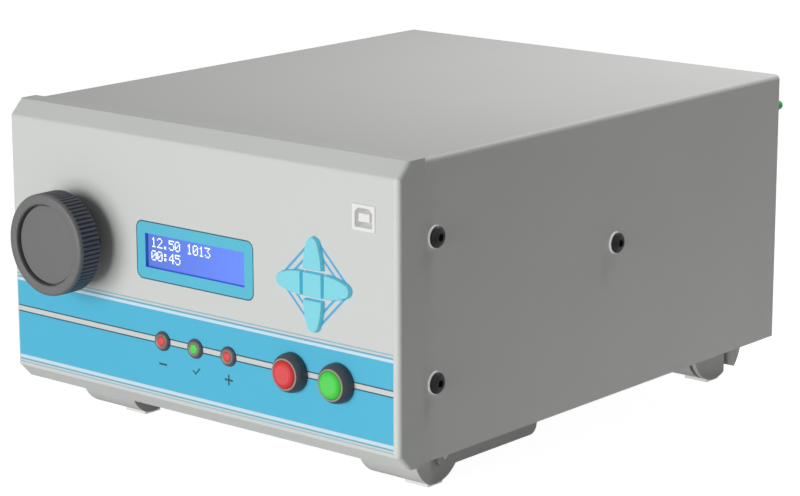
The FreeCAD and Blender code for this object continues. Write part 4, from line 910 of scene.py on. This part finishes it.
class FLOW_OT_stage(bpy.types.Operator):
    """Set the floor, the light and the camera"""

    bl_idname = "flow.stage"
    bl_label = "Stage"

    def execute(self, context):
        stage = context.scene.flow_stage
        context.scene.view_settings.view_transform = "Standard"
        place_camera(context.scene, stage)
        make_floor()
        make_world(context.scene, stage)
        make_lights(stage)
        return {"FINISHED"}


def place_camera(scene, stage):
    """The photograph's camera, as solved from the case's edges."""
    camera = placed("Camera", bpy.data.cameras.new("Camera"))
    around = Matrix.Rotation(stage.azimuth, 4, "Z")
    down = Matrix.Rotation(math.pi / 2 - stage.elevation, 4, "X")
    spot = Matrix.Translation((stage.right, FRONT_Y - stage.before, BASE_Z + stage.above))
    camera.matrix_world = spot @ (around @ down) @ Matrix.Rotation(stage.roll, 4, "Z")
    camera.data.sensor_fit = "HORIZONTAL"
    camera.data.sensor_width = 36.0
    camera.data.lens = stage.lens
    camera.data.clip_start = 0.05
    camera.data.clip_end = 20.0
    scene.camera = camera


def make_floor():
    """A pale floor that glows, mainly for the camera, and that lets the low key light through."""
    shape = bmesh.new()
    bmesh.ops.create_grid(shape, x_segments=1, y_segments=1, size=FLOOR_HALF)
    floor = placed_mesh("Floor", shape)
    floor.location.z = -FLOOR_DROP
    made = Finish(
        "Pale floor", base_color=(0.62, 0.62, 0.62), roughness=0.9, specular_ior_level=0.1
    )
    bright = made.node("ShaderNodeEmission", {}, {"Color": WHITE, "Strength": 1.9})
    made.surface(made.shader, bright, made.light_path("Is Camera Ray") * 0.44 + 0.06)
    floor.data.materials.append(made.material)
    floor.visible_shadow = False


def make_world(scene, stage):
    """Even light, with white for the camera and half of that white for reflections."""
    scene.world = bpy.data.worlds.new("Studio")
    scene.world.use_nodes = True
    made = Shading(scene.world.node_tree)
    light = made.tree.nodes["Background"]
    made.feed(light.inputs["Color"], WHITE)
    made.feed(light.inputs["Strength"], stage.ambient)
    white = made.node("ShaderNodeBackground", {}, {"Color": WHITE})
    reflected = made.light_path("Is Glossy Ray") * 0.5
    made.surface(light, white, made.light_path("Is Camera Ray").at_least(reflected))


def make_lights(stage):
    """A wide key light from the front left, and a soft panel over the rear edge."""
    key = bpy.data.lights.new("Key", "SUN")
    key.energy = stage.key
    key.angle = math.radians(44)
    aim_light(key, KEY_PLACE, Vector())
    panel = bpy.data.lights.new("Top panel", "AREA")
    panel.shape = "DISK"
    panel.size = 0.4
    panel.spread = math.radians(80)
    panel.energy = stage.top
    aim_light(panel, PANEL_PLACE, PANEL_TARGET)


def aim_light(light, place, target):
    """Put a light at a place and turn it to a target."""
    lamp = placed(light.name, light)
    lamp.location = place
    lamp.rotation_euler = (place - target).to_track_quat("Z", "Y").to_euler()


# Panel and registration


class FLOW_PT_panel(bpy.types.Panel):
    """Lists the steps that finish the flow tester"""

    bl_idname = "FLOW_PT_panel"
    bl_label = "Flow Tester"
    bl_space_type = "VIEW_3D"
    bl_region_type = "UI"
    bl_category = "Flow Tester"

    def draw(self, context):
        for operator in OPERATORS:
            self.layout.operator(operator.bl_idname)


SETTINGS = {
    "flow_film": FilmSettings,
    "flow_finish": FinishSettings,
    "flow_trim": TrimSettings,
    "flow_stage": StageSettings,
}
OPERATORS = (
    FLOW_OT_stage,
    FLOW_OT_case,
    FLOW_OT_fasteners,
    FLOW_OT_feet,
    FLOW_OT_controls,
    FLOW_OT_inside,
    FLOW_OT_rear,
    FLOW_OT_display,
)


def register():
    for made in (*SETTINGS.values(), *OPERATORS, FLOW_PT_panel):
        bpy.utils.register_class(made)
    for name, made in SETTINGS.items():
        setattr(bpy.types.Scene, name, PointerProperty(type=made))


def unregister():
    for name in SETTINGS:
        delattr(bpy.types.Scene, name)
    for made in (FLOW_PT_panel, *reversed(OPERATORS), *SETTINGS.values()):
        bpy.utils.unregister_class(made)


def main():
    register()
    for operator in OPERATORS:
        group, name = operator.bl_idname.split(".")
        getattr(getattr(bpy.ops, group), name)()


if __name__ == "__main__":
    main()
